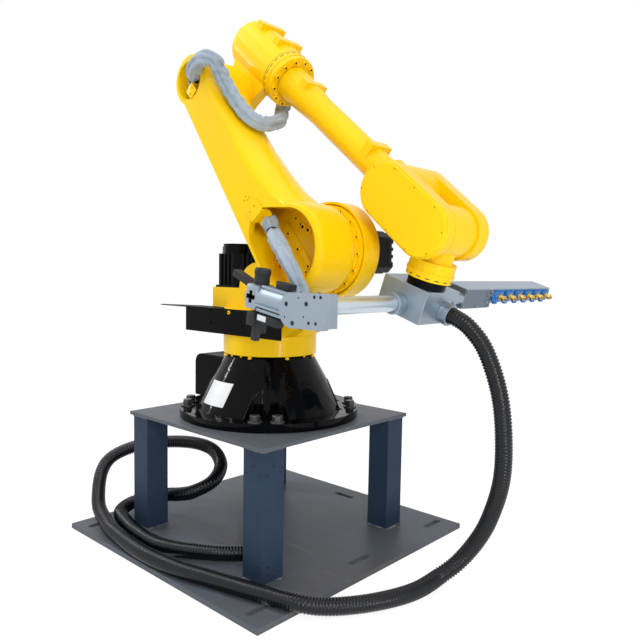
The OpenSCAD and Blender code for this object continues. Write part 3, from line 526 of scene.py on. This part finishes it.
make_sleeve("elbow_sleeve", "upper_sleeve", UPPER_ROUTE, ("lower_arm", "elbow"),
            tie=0.105, seed=4)
make_sleeve("drum_sleeve", "lower_sleeve", LOWER_ROUTE, ("lower_arm", "turret"),
            tie=0.06, seed=9)


# Modelling by hand: sizes in metres, and the places that shift and ring give in millimetres
SMOOTH_BEND = math.radians(35)
BAR_STEPS = 2
SCREW_SIDES = 12


def begin(kind, **settings):
    """A new primitive, selected by itself and open for editing."""
    bpy.ops.object.select_all(action="DESELECT")
    getattr(bpy.ops.mesh, f"primitive_{kind}_add")(**settings)
    bpy.ops.object.mode_set(mode="EDIT")
    bpy.ops.mesh.select_mode(type="FACE")
    return bpy.context.object


def pick_faces(piece, test):
    """Selects the faces whose centre and normal pass a test."""
    bpy.ops.mesh.select_all(action="DESELECT")
    sheet = bmesh.from_edit_mesh(piece.data)
    for face in sheet.faces:
        if test(face.calc_center_median(), face.normal):
            face.select_set(True)
    bmesh.update_edit_mesh(piece.data)


def extrude(rise):
    bpy.ops.mesh.extrude_region_move(TRANSFORM_OT_translate={"value": (0, 0, rise)})


def close(piece):
    """Ends the editing of a piece, with its place in its mesh and its faces outwards."""
    bpy.ops.mesh.select_all(action="SELECT")
    bpy.ops.mesh.normals_make_consistent(inside=False)
    bpy.ops.object.mode_set(mode="OBJECT")
    bpy.ops.object.transform_apply(location=True, rotation=True, scale=True)
    bpy.ops.object.shade_smooth_by_angle(angle=SMOOTH_BEND)
    return piece


def turned(sides, steps, *finishes, socket=0):
    """A turned form: a disc extruded and resized through steps of radius and height, its socket dark."""
    radius, height = steps[0]
    piece = begin("circle", vertices=sides, radius=radius, fill_type="NGON", location=(0, 0, height))
    for finish in finishes:
        piece.data.materials.append(finish)
    for next_radius, next_height in steps[1:]:
        extrude(next_height - height)
        share = next_radius / radius
        bpy.ops.transform.resize(value=(share, share, 1), center_override=(0, 0, 0))
        radius, height = next_radius, next_height
    if socket:
        top = max(h for _, h in steps)

        def in_socket(centre, normal):
            """Whether a face is on the socket's wall or floor."""
            inside = math.hypot(centre.x, centre.y) < socket * 1.01
            return inside and centre.z < top - 1e-5 and normal.z > -0.5

        pick_faces(piece, in_socket)
        piece.active_material_index = 1
        bpy.ops.object.material_slot_assign()
    return close(piece)


def cap_screw(r, h, finish):
    """Head of a socket screw."""
    edge, hole = r * 0.14, r * 0.52
    steps = [(r, 0), (r, h - edge), (r - edge, h), (hole, h), (hole, h * 0.4)]
    return turned(SCREW_SIDES, steps, finish, SHADE, socket=hole)


def button_screw(r, finish):
    """Domed head of a socket screw."""
    hole, top = r * 0.4, r * 0.56
    steps = [(r, 0), (r, r * 0.15), (r * 0.85, r * 0.42), (r * 0.55, top), (hole, top), (hole, r * 0.2)]
    return turned(SCREW_SIDES, steps, finish, SHADE, socket=hole)


def tapped_hole(r, finish):
    """A small dark hole with a low rim."""
    rim, rise = r * 1.25, 0.0006
    steps = [(rim, -rise), (rim, rise * 0.5), (r, rise), (r, 0)]
    return turned(SCREW_SIDES, steps, finish, SHADE, socket=r)


def hex_head(r, h, finish):
    edge = r * 0.13
    return turned(6, [(r, 0), (r, h - edge), (r - edge, h)], finish)


def hoop(sides, inner, outer, low, high, finish):
    """A band between two radii and two heights."""
    return turned(sides, [(inner, low), (outer, low), (outer, high), (inner, high)], finish)


def bar(size, centre, edge, finish):
    """A block with its edges rounded."""
    piece = begin("cube", size=1, location=centre, scale=size)
    piece.data.materials.append(finish)
    bpy.ops.object.mode_set(mode="OBJECT")
    bpy.ops.object.transform_apply(location=True, rotation=True, scale=True)
    bpy.ops.object.mode_set(mode="EDIT")
    bpy.ops.mesh.select_all(action="SELECT")
    bpy.ops.mesh.bevel(offset=edge, segments=BAR_STEPS, affect="EDGES")
    return close(piece)


def seat(piece, place):
    piece.data.transform(place)
    return piece


def settle(piece, name, body):
    """Names a finished piece and gives it its body."""
    piece.name = piece.data.name = name
    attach(piece, body)
    return piece


def stamp(name, master, places, body):
    """Copies of a master, each with its own mesh, set at their places and joined to one piece."""
    bpy.ops.object.select_all(action="DESELECT")
    for place in places:
        copy = master.copy()
        copy.data = master.data.copy()
        copy.data.transform(place)
        bpy.context.scene.collection.objects.link(copy)
        copy.select_set(True)
        bpy.context.view_layer.objects.active = copy
    bpy.ops.object.join()
    bpy.data.objects.remove(master)
    return settle(bpy.context.object, name, body)


def joined(name, pieces, body):
    """Several pieces made one."""
    bpy.ops.object.select_all(action="DESELECT")
    for piece in pieces:
        piece.select_set(True)
    bpy.context.view_layer.objects.active = pieces[0]
    bpy.ops.object.join()
    return settle(bpy.context.object, name, body)


def shift(x, y, z):
    return Matrix.Translation((x * MM, y * MM, z * MM))


def spun(turn):
    return Matrix.Rotation(math.radians(turn), 4, "Z")


def ring(base, radius, height, angles):
    """Places round a base's Z, in millimetres and degrees."""
    return [base @ spun(a) @ shift(radius, 0, height) for a in angles]


# Turns a piece's Z towards the near side, the far side, the front, the back and the floor
NEARWARD = Matrix.Rotation(math.pi / 2, 4, "X")
FARWARD = Matrix.Rotation(-math.pi / 2, 4, "X")
FORWARD = Matrix.Rotation(math.pi / 2, 4, "Y")
BACKWARD = Matrix.Rotation(-math.pi / 2, 4, "Y")
DOWNWARD = Matrix.Rotation(math.pi, 4, "X")


# Castings, plates and machined pieces, with their edges rounded
BODY_OF = {node: body for body, held in frame["record"]["behaviour"]["bodies"].items() for node in held}
SHARP_BEND = math.radians(32)
CASTING_BEND = math.radians(40)
FLAT_BEND = math.radians(0.5)
SAME_PLACE = 0.00002
ROUNDING_STEPS = 2
FLAT_WEIGHT = 100


def carve(piece, cutter):
    """Cuts one piece out of another and drops the cutter."""
    bpy.ops.object.select_all(action="DESELECT")
    piece.select_set(True)
    bpy.context.view_layer.objects.active = piece
    cut = piece.modifiers.new("cut", "BOOLEAN")
    cut.object, cut.operation, cut.solver, cut.material_mode = cutter, "DIFFERENCE", "EXACT", "TRANSFER"
    bpy.ops.object.modifier_apply(modifier=cut.name)
    bpy.data.objects.remove(cutter)


def dress(node, edge, cutters=()):
    """Shows a CAD piece with its curves smooth, and its sharp edges rounded after any cuts."""
    bpy.ops.object.select_all(action="DESELECT")
    mesh = nodes[node].data.copy()
    piece = bpy.data.objects.new("dressed_" + node, mesh)
    bpy.context.scene.collection.objects.link(piece)
    piece.select_set(True)
    bpy.context.view_layer.objects.active = piece
    bpy.ops.object.mode_set(mode="EDIT")
    bpy.ops.mesh.select_all(action="SELECT")
    bpy.ops.mesh.remove_doubles(threshold=SAME_PLACE)
    bpy.ops.mesh.dissolve_limited(angle_limit=FLAT_BEND)
    bpy.ops.object.mode_set(mode="OBJECT")
    for cutter in cutters:
        carve(piece, cutter)
    rounding = piece.modifiers.new("rounding", "BEVEL")
    rounding.width, rounding.segments, rounding.use_clamp_overlap = edge * MM, ROUNDING_STEPS, True
    rounding.limit_method, rounding.angle_limit = "ANGLE", SHARP_BEND
    bpy.ops.object.modifier_apply(modifier=rounding.name)
    bpy.ops.object.shade_smooth_by_angle(angle=CASTING_BEND)
    flatness = piece.modifiers.new("flatness", "WEIGHTED_NORMAL")
    flatness.keep_sharp, flatness.weight = True, FLAT_WEIGHT
    bpy.ops.object.modifier_apply(modifier=flatness.name)
    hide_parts(node)
    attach(piece, BODY_OF[node])


# Rounding of each piece's edges, in millimetres
ROUNDING = {
    "floor_plate": 1.5, "top_plate": 2, "leg_front_near": 7, "leg_front_far": 7, "leg_rear_near": 7,
    "leg_rear_far": 7, "connector_box": 5, "turret_ring": 4, "turret_body": 7, "base_motor": 3,
    "base_motor_cap": 4, "shoulder_motor": 3, "shoulder_motor_cap": 4, "side_bracket": 1.2,
    "lower_arm": 7, "sleeve_bracket": 1.2, "elbow_flange": 2, "forearm_tube": 4, "wrist_fork": 5,
    "wrist_cover_near": 3, "wrist_cover_far": 3, "wrist_body": 1.5, "tool_flange": 2, "tool_block": 2,
    "tube_collar": 2, "clamp_plate": 1.5, "clamp_body": 2, "clamp_jaws": 2, "clamp_fittings": 1.5,
    "tool_boss": 1.5, "manifold_plate": 1, "manifold": 1.2, "manifold_cover": 0.8, "hose_spigot": 1.5,
    "hose_coupling": 2}
for node, edge in ROUNDING.items():
    dress(node, edge)
make_hose()

# The base's pockets reach out wide over their bolts, in millimetres
POCKET_R, POCKET_DIST = 110, 374
POCKET_FOOT, POCKET_TOP = 586.2, 840
POCKET_TURNS = [45 + 90 * k for k in range(4)]


def pocket_cutter(turn):
    wall = POCKET_R * MM
    cutter = turned(64, [(wall, POCKET_FOOT * MM), (wall, POCKET_TOP * MM)], GLOSS)
    return seat(cutter, spun(turn) @ shift(POCKET_DIST, 0, 0))


dress("robot_base", 5, [pocket_cutter(turn) for turn in POCKET_TURNS])

# The elbow's web stands on its near side only, so its far part is cut away outside the housing
HOUSING_CUT_R = 0.1142
WEB_FAR_Y = -0.04
CUT_LONG, CUT_WIDE, CUT_HIGH = 0.3, 0.2, 0.42
hollow = bar((CUT_LONG, CUT_WIDE, CUT_HIGH), (CUT_LONG / 2, WEB_FAR_Y + CUT_WIDE / 2, 0), 0.001, YELLOW)
carve(hollow, turned(96, [(HOUSING_CUT_R, -CUT_LONG), (HOUSING_CUT_R, CUT_LONG)], YELLOW))
dress("elbow_housing", 1.2, [seat(hollow, ON_FOREARM)])

# Elbow: screws on its flange, and the seam and slots near the housing's front
FLANGE_FRONT, SEAM_AT, SLOTS_AT = 180, 124, 134
stamp("elbow_flange_screws", cap_screw(0.0102, 0.011, YELLOW),
      ring(ON_FOREARM, 97, FLANGE_FRONT, range(206, 566, 30)), "elbow")
stamp("elbow_jack_screws", button_screw(0.005, YELLOW),
      ring(ON_FOREARM, 100, FLANGE_FRONT, (194, 248, 314, 14, 68)), "elbow")
settle(seat(hoop(64, 0.112, 0.1143, -0.001, 0.001, SHADE), ON_FOREARM @ shift(0, 0, SEAM_AT)),
       "elbow_seam", "elbow")
stamp("elbow_slots", bar((0.003, 0.017, 0.0038), (0, 0, 0), 0.0008, SHADE),
      ring(ON_FOREARM, 113, SLOTS_AT, range(0, 360, 15)), "elbow")

# Near faces of the lower arm, in millimetres to the arm's left
DRUM_FLANGE_FACE, DRUM_FACE, STRAP_FACE, ARM_FACE, BRACKET_FACE = -126, -213, -219, -350, -356.3

# Web across the drum, behind the cables
WEB_T = 8
lobes = [turned(64, [(r, 0), (r, WEB_T * MM)], YELLOW) for r in (0.1512, 0.0932)]
lobes[1].data.transform(shift(-46, 120, 0))
web = joined("drum_web", lobes, "lower_arm")
bpy.ops.object.mode_set(mode="EDIT")
bpy.ops.mesh.select_all(action="SELECT")
bpy.ops.mesh.convex_hull()
bpy.ops.object.mode_set(mode="OBJECT")
bpy.ops.object.shade_smooth_by_angle(angle=SMOOTH_BEND)
web.data.transform(ON_ARM @ shift(0, DRUM_FACE + WEB_T, 0) @ NEARWARD)


def on_arm_face(y, places):
    return [ON_ARM @ shift(x, y, z) @ NEARWARD for x, z in places]


# Drum of the lower arm: its screws and strap
ON_DRUM_FLANGE = ON_ARM @ shift(0, DRUM_FLANGE_FACE, 0) @ NEARWARD
INWARD = Matrix.Rotation(math.radians(-33.5), 4, "Y") @ FORWARD
SIDE_SPOTS = [(267, -234, 1286), (283, -242, 1262), (283, -219, 1262), (303, -256, 1232), (318, -256, 1209)]
stamp("drum_flange_screws", cap_screw(0.0065, 0.008, YELLOW),
      ring(ON_DRUM_FLANGE, 166, 0, np.arange(16) * 22.5), "lower_arm")
stamp("drum_wall_screws", cap_screw(0.0095, 0.011, YELLOW),
      on_arm_face(DRUM_FACE, ((20, 139), (26, 104), (-65, -58), (-68, -79))), "lower_arm")
stamp("drum_wall_bolts", cap_screw(0.0135, 0.014, YELLOW),
      on_arm_face(DRUM_FACE, ((29, 88), (43, 60))), "lower_arm")
stamp("drum_side_screws", cap_screw(0.0095, 0.01, YELLOW),
      [shift(*spot) @ INWARD for spot in SIDE_SPOTS], "lower_arm")
strap = bar((0.034, 0.006, 0.25), (-0.042, -0.216, 0.04), 0.0015, YELLOW)
settle(seat(strap, ON_ARM), "drum_strap", "lower_arm")
stamp("drum_strap_screws", cap_screw(0.0105, 0.011, YELLOW),
      on_arm_face(STRAP_FACE, ((-44, 117), (-42, 36), (-40, -51))), "lower_arm")
stamp("arm_tapped_holes", tapped_hole(0.003, YELLOW),
      on_arm_face(ARM_FACE, ((-45, 297), (-30, 281), (-59, 290), (-43, 278))), "lower_arm")
stamp("sleeve_bracket_screws", button_screw(0.006, YELLOW),
      on_arm_face(BRACKET_FACE, ((-22, 230), (-56, 230))), "lower_arm")

# Bracket in the arm's upper hollow
ON_ARM_TOP = ON_ARM @ shift(0, 0, ARM_LEN / MM)
UPPER_BRACKET_FACE = -355
face = bar((0.05, 0.005, 0.048), (-0.022, -0.3525, -0.041), 0.0012, YELLOW)
lip = bar((0.05, 0.038, 0.005), (-0.022, -0.334, -0.0195), 0.0012, YELLOW)
seat(joined("upper_bracket", [face, lip], "lower_arm"), ON_ARM_TOP)
stamp("upper_bracket_screws", button_screw(0.0055, YELLOW),
      [ON_ARM_TOP @ shift(x, UPPER_BRACKET_FACE, z) @ NEARWARD for x, z in ((-8, -40), (-34, -46))],
      "lower_arm")

# Turret: bolts and pins under its ring, and its side bracket's screws
UNDER_RING = shift(0, 0, BASE_TOP)
SIDE_BRACKET_FACE = -222
stamp("turret_foot_bolts", hex_head(0.0085, 0.011, YELLOW),
      [place @ DOWNWARD for place in ring(UNDER_RING, 209.5, 0, 22.5 + 45 * np.arange(8))],
      "turret")
stamp("turret_foot_pins", cap_screw(0.0045, 0.006, YELLOW),
      [place @ DOWNWARD for place in ring(UNDER_RING, 207, 0, (-80, -96, 3, 48, 140, 190))],
      "turret")
side_spots = ((-156, 1021), (-156, 964), (-47, 1013), (57, 961))
stamp("side_bracket_screws", button_screw(0.007, SATIN),
      [shift(x, SIDE_BRACKET_FACE, z) @ NEARWARD for x, z in side_spots], "turret")
stamp("side_bracket_mark", cap_screw(0.008, 0.006, YELLOW),
      [shift(-24, SIDE_BRACKET_FACE, 1015) @ NEARWARD], "turret")
plug = turned(24, [(0.015, 0), (0.015, 0.012), (0.019, 0.012), (0.019, 0.03), (0.014, 0.034), (0.014, 0.05)],
              SATIN)
settle(seat(plug, shift(-254, -40, 1236) @ BACKWARD), "base_motor_plug", "turret")
gusset = bar((0.11, 0.092, 0.004), (-0.158, -0.171, 1.0275), 0.001, SATIN)
settle(gusset, "side_bracket_gusset", "turret")

# Base bolts, two in each pocket, on their washers
BOLT_RING_R, WASHER_FOOT, BOLT_FOOT = 370, 586, 590.5
bolt_turns = [turn + side for turn in POCKET_TURNS for side in (-7, 7)]
stamp("base_washers", turned(20, [(0.03, 0), (0.03, 0.004), (0.029, 0.005)], BOLT),
      ring(shift(0, 0, WASHER_FOOT), BOLT_RING_R, 0, bolt_turns), "pedestal")
stamp("base_bolts", hex_head(0.0215, 0.026, BOLT),
      ring(shift(0, 0, BOLT_FOOT), BOLT_RING_R, 0, bolt_turns), "pedestal")

# Wrist covers
COVER_FACE = 149
cover_spots = [(side * 91, along) for side in (-1, 1) for along in (0, -110, -221)]
cover_spots += [(side * 45.5, along) for side in (-1, 1) for along in (78.8, -299.8)]
for name, y, turn in (("near_cover_screws", -COVER_FACE, NEARWARD),
                      ("far_cover_screws", COVER_FACE, FARWARD)):
    stamp(name, button_screw(0.0055, YELLOW), [ON_FORK @ shift(x, y, z) @ turn for x, z in cover_spots],
          "forearm")

# Step and slots of the wrist's collar
STEP_AT, COLLAR_SLOTS_AT = 146, 168
settle(seat(hoop(64, 0.084, 0.0892, 0, 0.012, YELLOW), ON_WRIST @ shift(0, 0, STEP_AT)),
       "wrist_collar_step", "wrist")
stamp("wrist_collar_slots", bar((0.003, 0.016, 0.0038), (0, 0, 0), 0.0008, SHADE),
      ring(ON_WRIST, 85, COLLAR_SLOTS_AT, range(0, 360, 24)), "wrist")

# Clamp: its cylinder runs along Z of its frame, with X up
TUBE_PLACE = ON_FLANGE @ (MM * Vector((40, 0, 82)))
ON_CLAMP = link_frame(TUBE_PLACE, -math.pi / 2)
ON_CYLINDER = ON_CLAMP @ shift(122, -467, 16) @ Matrix.Rotation(math.radians(100), 4, "Y")
CAP_AT = 0.205
CAP_WIDE, CAP_LONG = 0.0885, 0.06
CROSS_FACE = -0.045
CROSS_LONG, CROSS_WIDE, CROSS_DEEP = 0.044, 0.016, 0.024


def cross_cutters(place):
    """Two bars that cut a cross into the near face of the cylinder's end."""
    sizes = ((CROSS_LONG, CROSS_DEEP, CROSS_WIDE), (CROSS_WIDE, CROSS_DEEP, CROSS_LONG))
    return [seat(bar(size, (0, CROSS_FACE, CAP_AT), 0.001, SHADE), place) for size in sizes]


dress("clamp_cylinder", 2, cross_cutters(ON_CYLINDER))
end_cap = bar((CAP_WIDE, CAP_WIDE, CAP_LONG), (0, 0, CAP_AT), 0.009, ALUMINIUM)
for cutter in cross_cutters(Matrix()):
    carve(end_cap, cutter)
bpy.ops.object.shade_smooth_by_angle(angle=SMOOTH_BEND)
settle(seat(end_cap, ON_CYLINDER), "clamp_end_cap", "tool")

rails = [bar(size, centre, 0.0015, ALUMINIUM) for size, centre in (
    ((0.011, 0.011, 0.165), (-0.038, -0.036, 0.088)), ((0.009, 0.011, 0.165), (-0.022, -0.043, 0.088)),
    ((0.012, 0.03, 0.125), (0.042, -0.014, 0.108)), ((0.01, 0.014, 0.165), (-0.047, -0.016, 0.088)))]
seat(joined("clamp_rails", rails, "tool"), ON_CYLINDER)
clips = [bar(size, centre, 0.002, GREY) for size, centre in (
    ((0.022, 0.04, 0.062), (0.06, 0.006, 0.085)), ((0.03, 0.034, 0.105), (-0.064, -0.028, 0.108)),
    ((0.05, 0.036, 0.036), (-0.075, -0.03, 0.19)), ((0.07, 0.022, 0.026), (-0.118, -0.024, 0.176)))]
seat(joined("clamp_sensors", clips, "tool"), ON_CYLINDER)
tag = bar((0.019, 0.001, 0.044), (-0.062, -0.0454, 0.134), 0.0003, PLATE)
settle(seat(tag, ON_CYLINDER), "clamp_tag", "tool")
ON_SWIVEL = ON_CYLINDER @ shift(0, 0, CAP_AT / MM) @ FORWARD
swivel = turned(28, [(0.029, 0.045), (0.029, 0.058), (0.0275, 0.06), (0.0275, 0.078), (0.03, 0.08),
                     (0.03, 0.094), (0.027, 0.1), (0.012, 0.101)], GREY)
settle(seat(swivel, ON_SWIVEL), "clamp_swivel", "tool")
PLATE_EDGE = -528
edge_spots = [(x, z, way) for x in (-20, 60) for z, way in ((75, Matrix()), (-43, DOWNWARD))]
stamp("clamp_edge_screws", cap_screw(0.005, 0.0025, BOLT),
      [ON_CLAMP @ shift(x, PLATE_EDGE, z) @ way for x, z, way in edge_spots], "tool")

# Set screws of the tube's collar and the block, and the hose's band
COLLAR_R = 40
collar_axis = Matrix.Translation(TUBE_PLACE) @ shift(0, -98, 0)
collar_ways = [collar_axis @ Matrix.Rotation(math.radians(-a), 4, "Y") for a in (36, -74, 146)]
stamp("collar_screws", tapped_hole(0.0055, ALUMINIUM),
      [way @ shift(COLLAR_R, 0, 0) @ FORWARD for way in collar_ways], "tool")
stamp("block_hole", tapped_hole(0.006, ALUMINIUM), [shift(709, -75, 1123) @ NEARWARD], "tool")
ON_SPIGOT = ON_FLANGE @ shift(-66, 62, 78.1) @ BACKWARD
band = hoop(40, 0.0395, 0.0425, 0.022, 0.034, ALUMINIUM)
lug = bar((0.016, 0.012, 0.011), (-0.045, 0.006, 0.028), 0.0015, ALUMINIUM)
seat(joined("hose_band", [band, lug], "tool"), ON_SPIGOT)

# Manifold: blue modules with brass fittings
MANIFOLD_FACE = -49
MODULE_START, MODULE_PITCH, MODULES, MODULE_Z = 440, 90, 6, 29


def on_manifold(y, z):
    return ON_FLANGE @ shift(MANIFOLD_FACE, y, z) @ BACKWARD


fitting_places = [on_manifold(MODULE_START + MODULE_PITCH * (i + 0.5), MODULE_Z) for i in range(MODULES)]
hexes = turned(6, [(0.0145, 0.006), (0.0145, 0.015), (0.012, 0.017)], BRASS)
nuts = turned(6, [(0.013, 0.024), (0.013, 0.034), (0.011, 0.036)], BRASS)
stems = turned(14, [(0.0095, 0.004), (0.0095, 0.025), (0.0075, 0.03), (0.0075, 0.042), (0.005, 0.042),
                    (0.005, 0.038)], BRASS, SHADE, socket=0.005)
fitting_hexes = stamp("fitting_hexes", hexes, fitting_places, "tool")
stamp("fitting_nuts", nuts, fitting_places, "tool")
stamp("fitting_stems", stems, fitting_places, "tool")
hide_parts("manifold_fittings")
stamp("manifold_modules", bar((0.044, 0.064, 0.01), (0, 0, 0.004), 0.003, BLUE),
      fitting_places, "tool")
stamp("manifold_caps", bar((0.014, 0.03, 0.012), (0.026, -0.016, 0.004), 0.003, BLUE),
      fitting_places, "tool")
knob = turned(20, [(0.022, 0), (0.022, 0.008), (0.018, 0.011), (0.012, 0.011), (0.011, 0.016)], BLUE)
settle(seat(knob, on_manifold(452, MODULE_Z)), "manifold_knob", "tool")
plate_spots = [(228, 12), (228, 68), (330, 72), (425, 10), (425, 70), (404, 24), (404, 52), (430, 24),
               (430, 52)]
stamp("plate_screws", cap_screw(0.006, 0.006, ALUMINIUM),
      [on_manifold(y, z) for y, z in plate_spots], "tool")

# Pedestal: weld beads round the legs, and small holes in them
LEG_DIST, LEG_HALF = 383, 55
WELD_LEVELS = (23, 533)
LEG_SPOTS = [(sx * LEG_DIST, sy * LEG_DIST) for sx in (-1, 1) for sy in (-1, 1)]
weld_places = [shift(x, y, z) @ spun(a) @ shift(0, LEG_HALF, 0)
               for x, y in LEG_SPOTS for z in WELD_LEVELS for a in (0, 90, 180, 270)]
stamp("leg_welds", bar((0.108, 0.011, 0.011), (0, 0, 0), 0.004, WELD), weld_places, "pedestal")
hole_rows = [(-26, 60), (-26, 90), (26, 60), (26, 90), (0, 470), (-34, 440), (34, 440)]
hole_places = [shift(x, y, 0) @ spun(a) @ shift(side, -LEG_HALF, z) @ NEARWARD
               for x, y in LEG_SPOTS for a in (0, 90) for side, z in hole_rows]
stamp("leg_holes", tapped_hole(0.0028, STEEL), hole_places, "pedestal")

# Base: a rounded bead of paint along each pocket's rim, its cone in millimetres
CONE_FOOT_R, CONE_TOP_R = 350, 195
CONE_H = BASE_TOP - PEDESTAL_TOP
BASE_FLANGE_T = 36
RIM_R = 0.003
RIM_STEP = 0.006
RIM_SIDES = 10


def rim_route(turn):
    """The edge between a pocket's wall and the cone, in metres."""
    line = []
    for phi in np.radians(np.linspace(116, 244, 41)):
        x, y = POCKET_DIST + POCKET_R * math.cos(phi), POCKET_R * math.sin(phi)
        rise = (CONE_FOOT_R - math.hypot(x, y)) / (CONE_FOOT_R - CONE_TOP_R) * CONE_H
        line.append((x, y, PEDESTAL_TOP + max(rise, BASE_FLANGE_T)))
    return placed(spun(turn), line)


for k, turn in enumerate(POCKET_TURNS):
    line, _ = smooth_route(rim_route(turn), RIM_STEP)
    rings = [p + RIM_R * out for p, out in zip(line, spokes(line, RIM_SIDES))]
    rim = skin(f"pocket_rim_{k}", rings, GLOSS)
    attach(rim, "pedestal")


# Studio: a white floor that keeps the shadow, a white background and five lamps
FLOOR_SIZE = 40
FLOOR_GLOW = 1.2
GLOW_SHARE = 0.72
LIGHT_LEVEL = 0.55
BACKGROUND_LEVEL = 1.0


def make_floor():
    bpy.ops.object.select_all(action="DESELECT")
    bpy.ops.mesh.primitive_plane_add(size=FLOOR_SIZE, location=(0, 0, 0))
    floor = bpy.context.object
    floor.name = "studio_floor"
    p = Paint("studio_floor")
    cam = p.add("ShaderNodeLightPath", {}, {}, "Is Camera Ray")
    glossy = p.add("ShaderNodeLightPath", {}, {}, "Is Glossy Ray")
    clear = p.add("ShaderNodeLightPath", {}, {}, "Is Transmission Ray")
    glow = p.add("ShaderNodeEmission", {}, {"Color": (1, 1, 1), "Strength": FLOOR_GLOW})
    p.finish(Base_Color=(0.9, 0.9, 0.9), Roughness=0.8)
    shown = p.add("ShaderNodeMixShader", {}, {0: (cam + glossy + clear) * GLOW_SHARE,
                  1: Wire(p, p.surface.outputs[0]), 2: glow})
    out = next(n for n in p.tree.nodes if n.type == "OUTPUT_MATERIAL")
    p.tree.links.new(shown.socket, out.inputs["Surface"])
    floor.data.materials.append(p.material)


def make_background():
    world = bpy.data.worlds.new("studio")
    bpy.context.scene.world = world
    world.use_nodes = True
    tree = world.node_tree
    sky = next(n for n in tree.nodes if n.type == "BACKGROUND")
    path = tree.nodes.new("ShaderNodeLightPath")
    seen = tree.nodes.new("ShaderNodeMath")
    both = tree.nodes.new("ShaderNodeMath")
    level = tree.nodes.new("ShaderNodeMapRange")
    for node in (seen, both):
        node.operation = "MAXIMUM"
    tree.links.new(path.outputs["Is Camera Ray"], seen.inputs[0])
    tree.links.new(path.outputs["Is Glossy Ray"], seen.inputs[1])
    tree.links.new(seen.outputs[0], both.inputs[0])
    tree.links.new(path.outputs["Is Transmission Ray"], both.inputs[1])
    tree.links.new(both.outputs[0], level.inputs["Value"])
    level.inputs["To Min"].default_value = LIGHT_LEVEL
    level.inputs["To Max"].default_value = BACKGROUND_LEVEL
    tree.links.new(level.outputs[0], sky.inputs["Strength"])
    sky.inputs["Color"].default_value = (1, 1, 1, 1)


def softbox(name, place, aim, size, watts):
    data = bpy.data.lights.new(name, "AREA")
    data.shape, data.size, data.size_y, data.energy = "RECTANGLE", size[0], size[1], watts
    lamp = bpy.data.objects.new(name, data)
    lamp.location = place
    lamp.rotation_euler = (Vector(aim) - Vector(place)).to_track_quat("-Z", "Y").to_euler()
    bpy.context.scene.collection.objects.link(lamp)


make_floor()
make_background()
softbox("roof_light", (0.6, -0.6, 4.6), aim=(0.2, 0, 1), size=(3.5, 3.5), watts=34)
softbox("key_light", (3.6, -3.0, 3.6), aim=(0.2, 0, 1.2), size=(0.11, 2.6), watts=72)
softbox("low_light", (3.4, -1.2, 0.5), aim=(0, 0, 0.7), size=(0.12, 1.4), watts=26)
softbox("streak_light", (-1.5, -1.6, 4.5), aim=(0, 0, 1.7), size=(0.08, 2.4), watts=34)
softbox("left_light", (-3.4, -1.6, 3.4), aim=(0, 0, 1.2), size=(0.09, 3.0), watts=42)
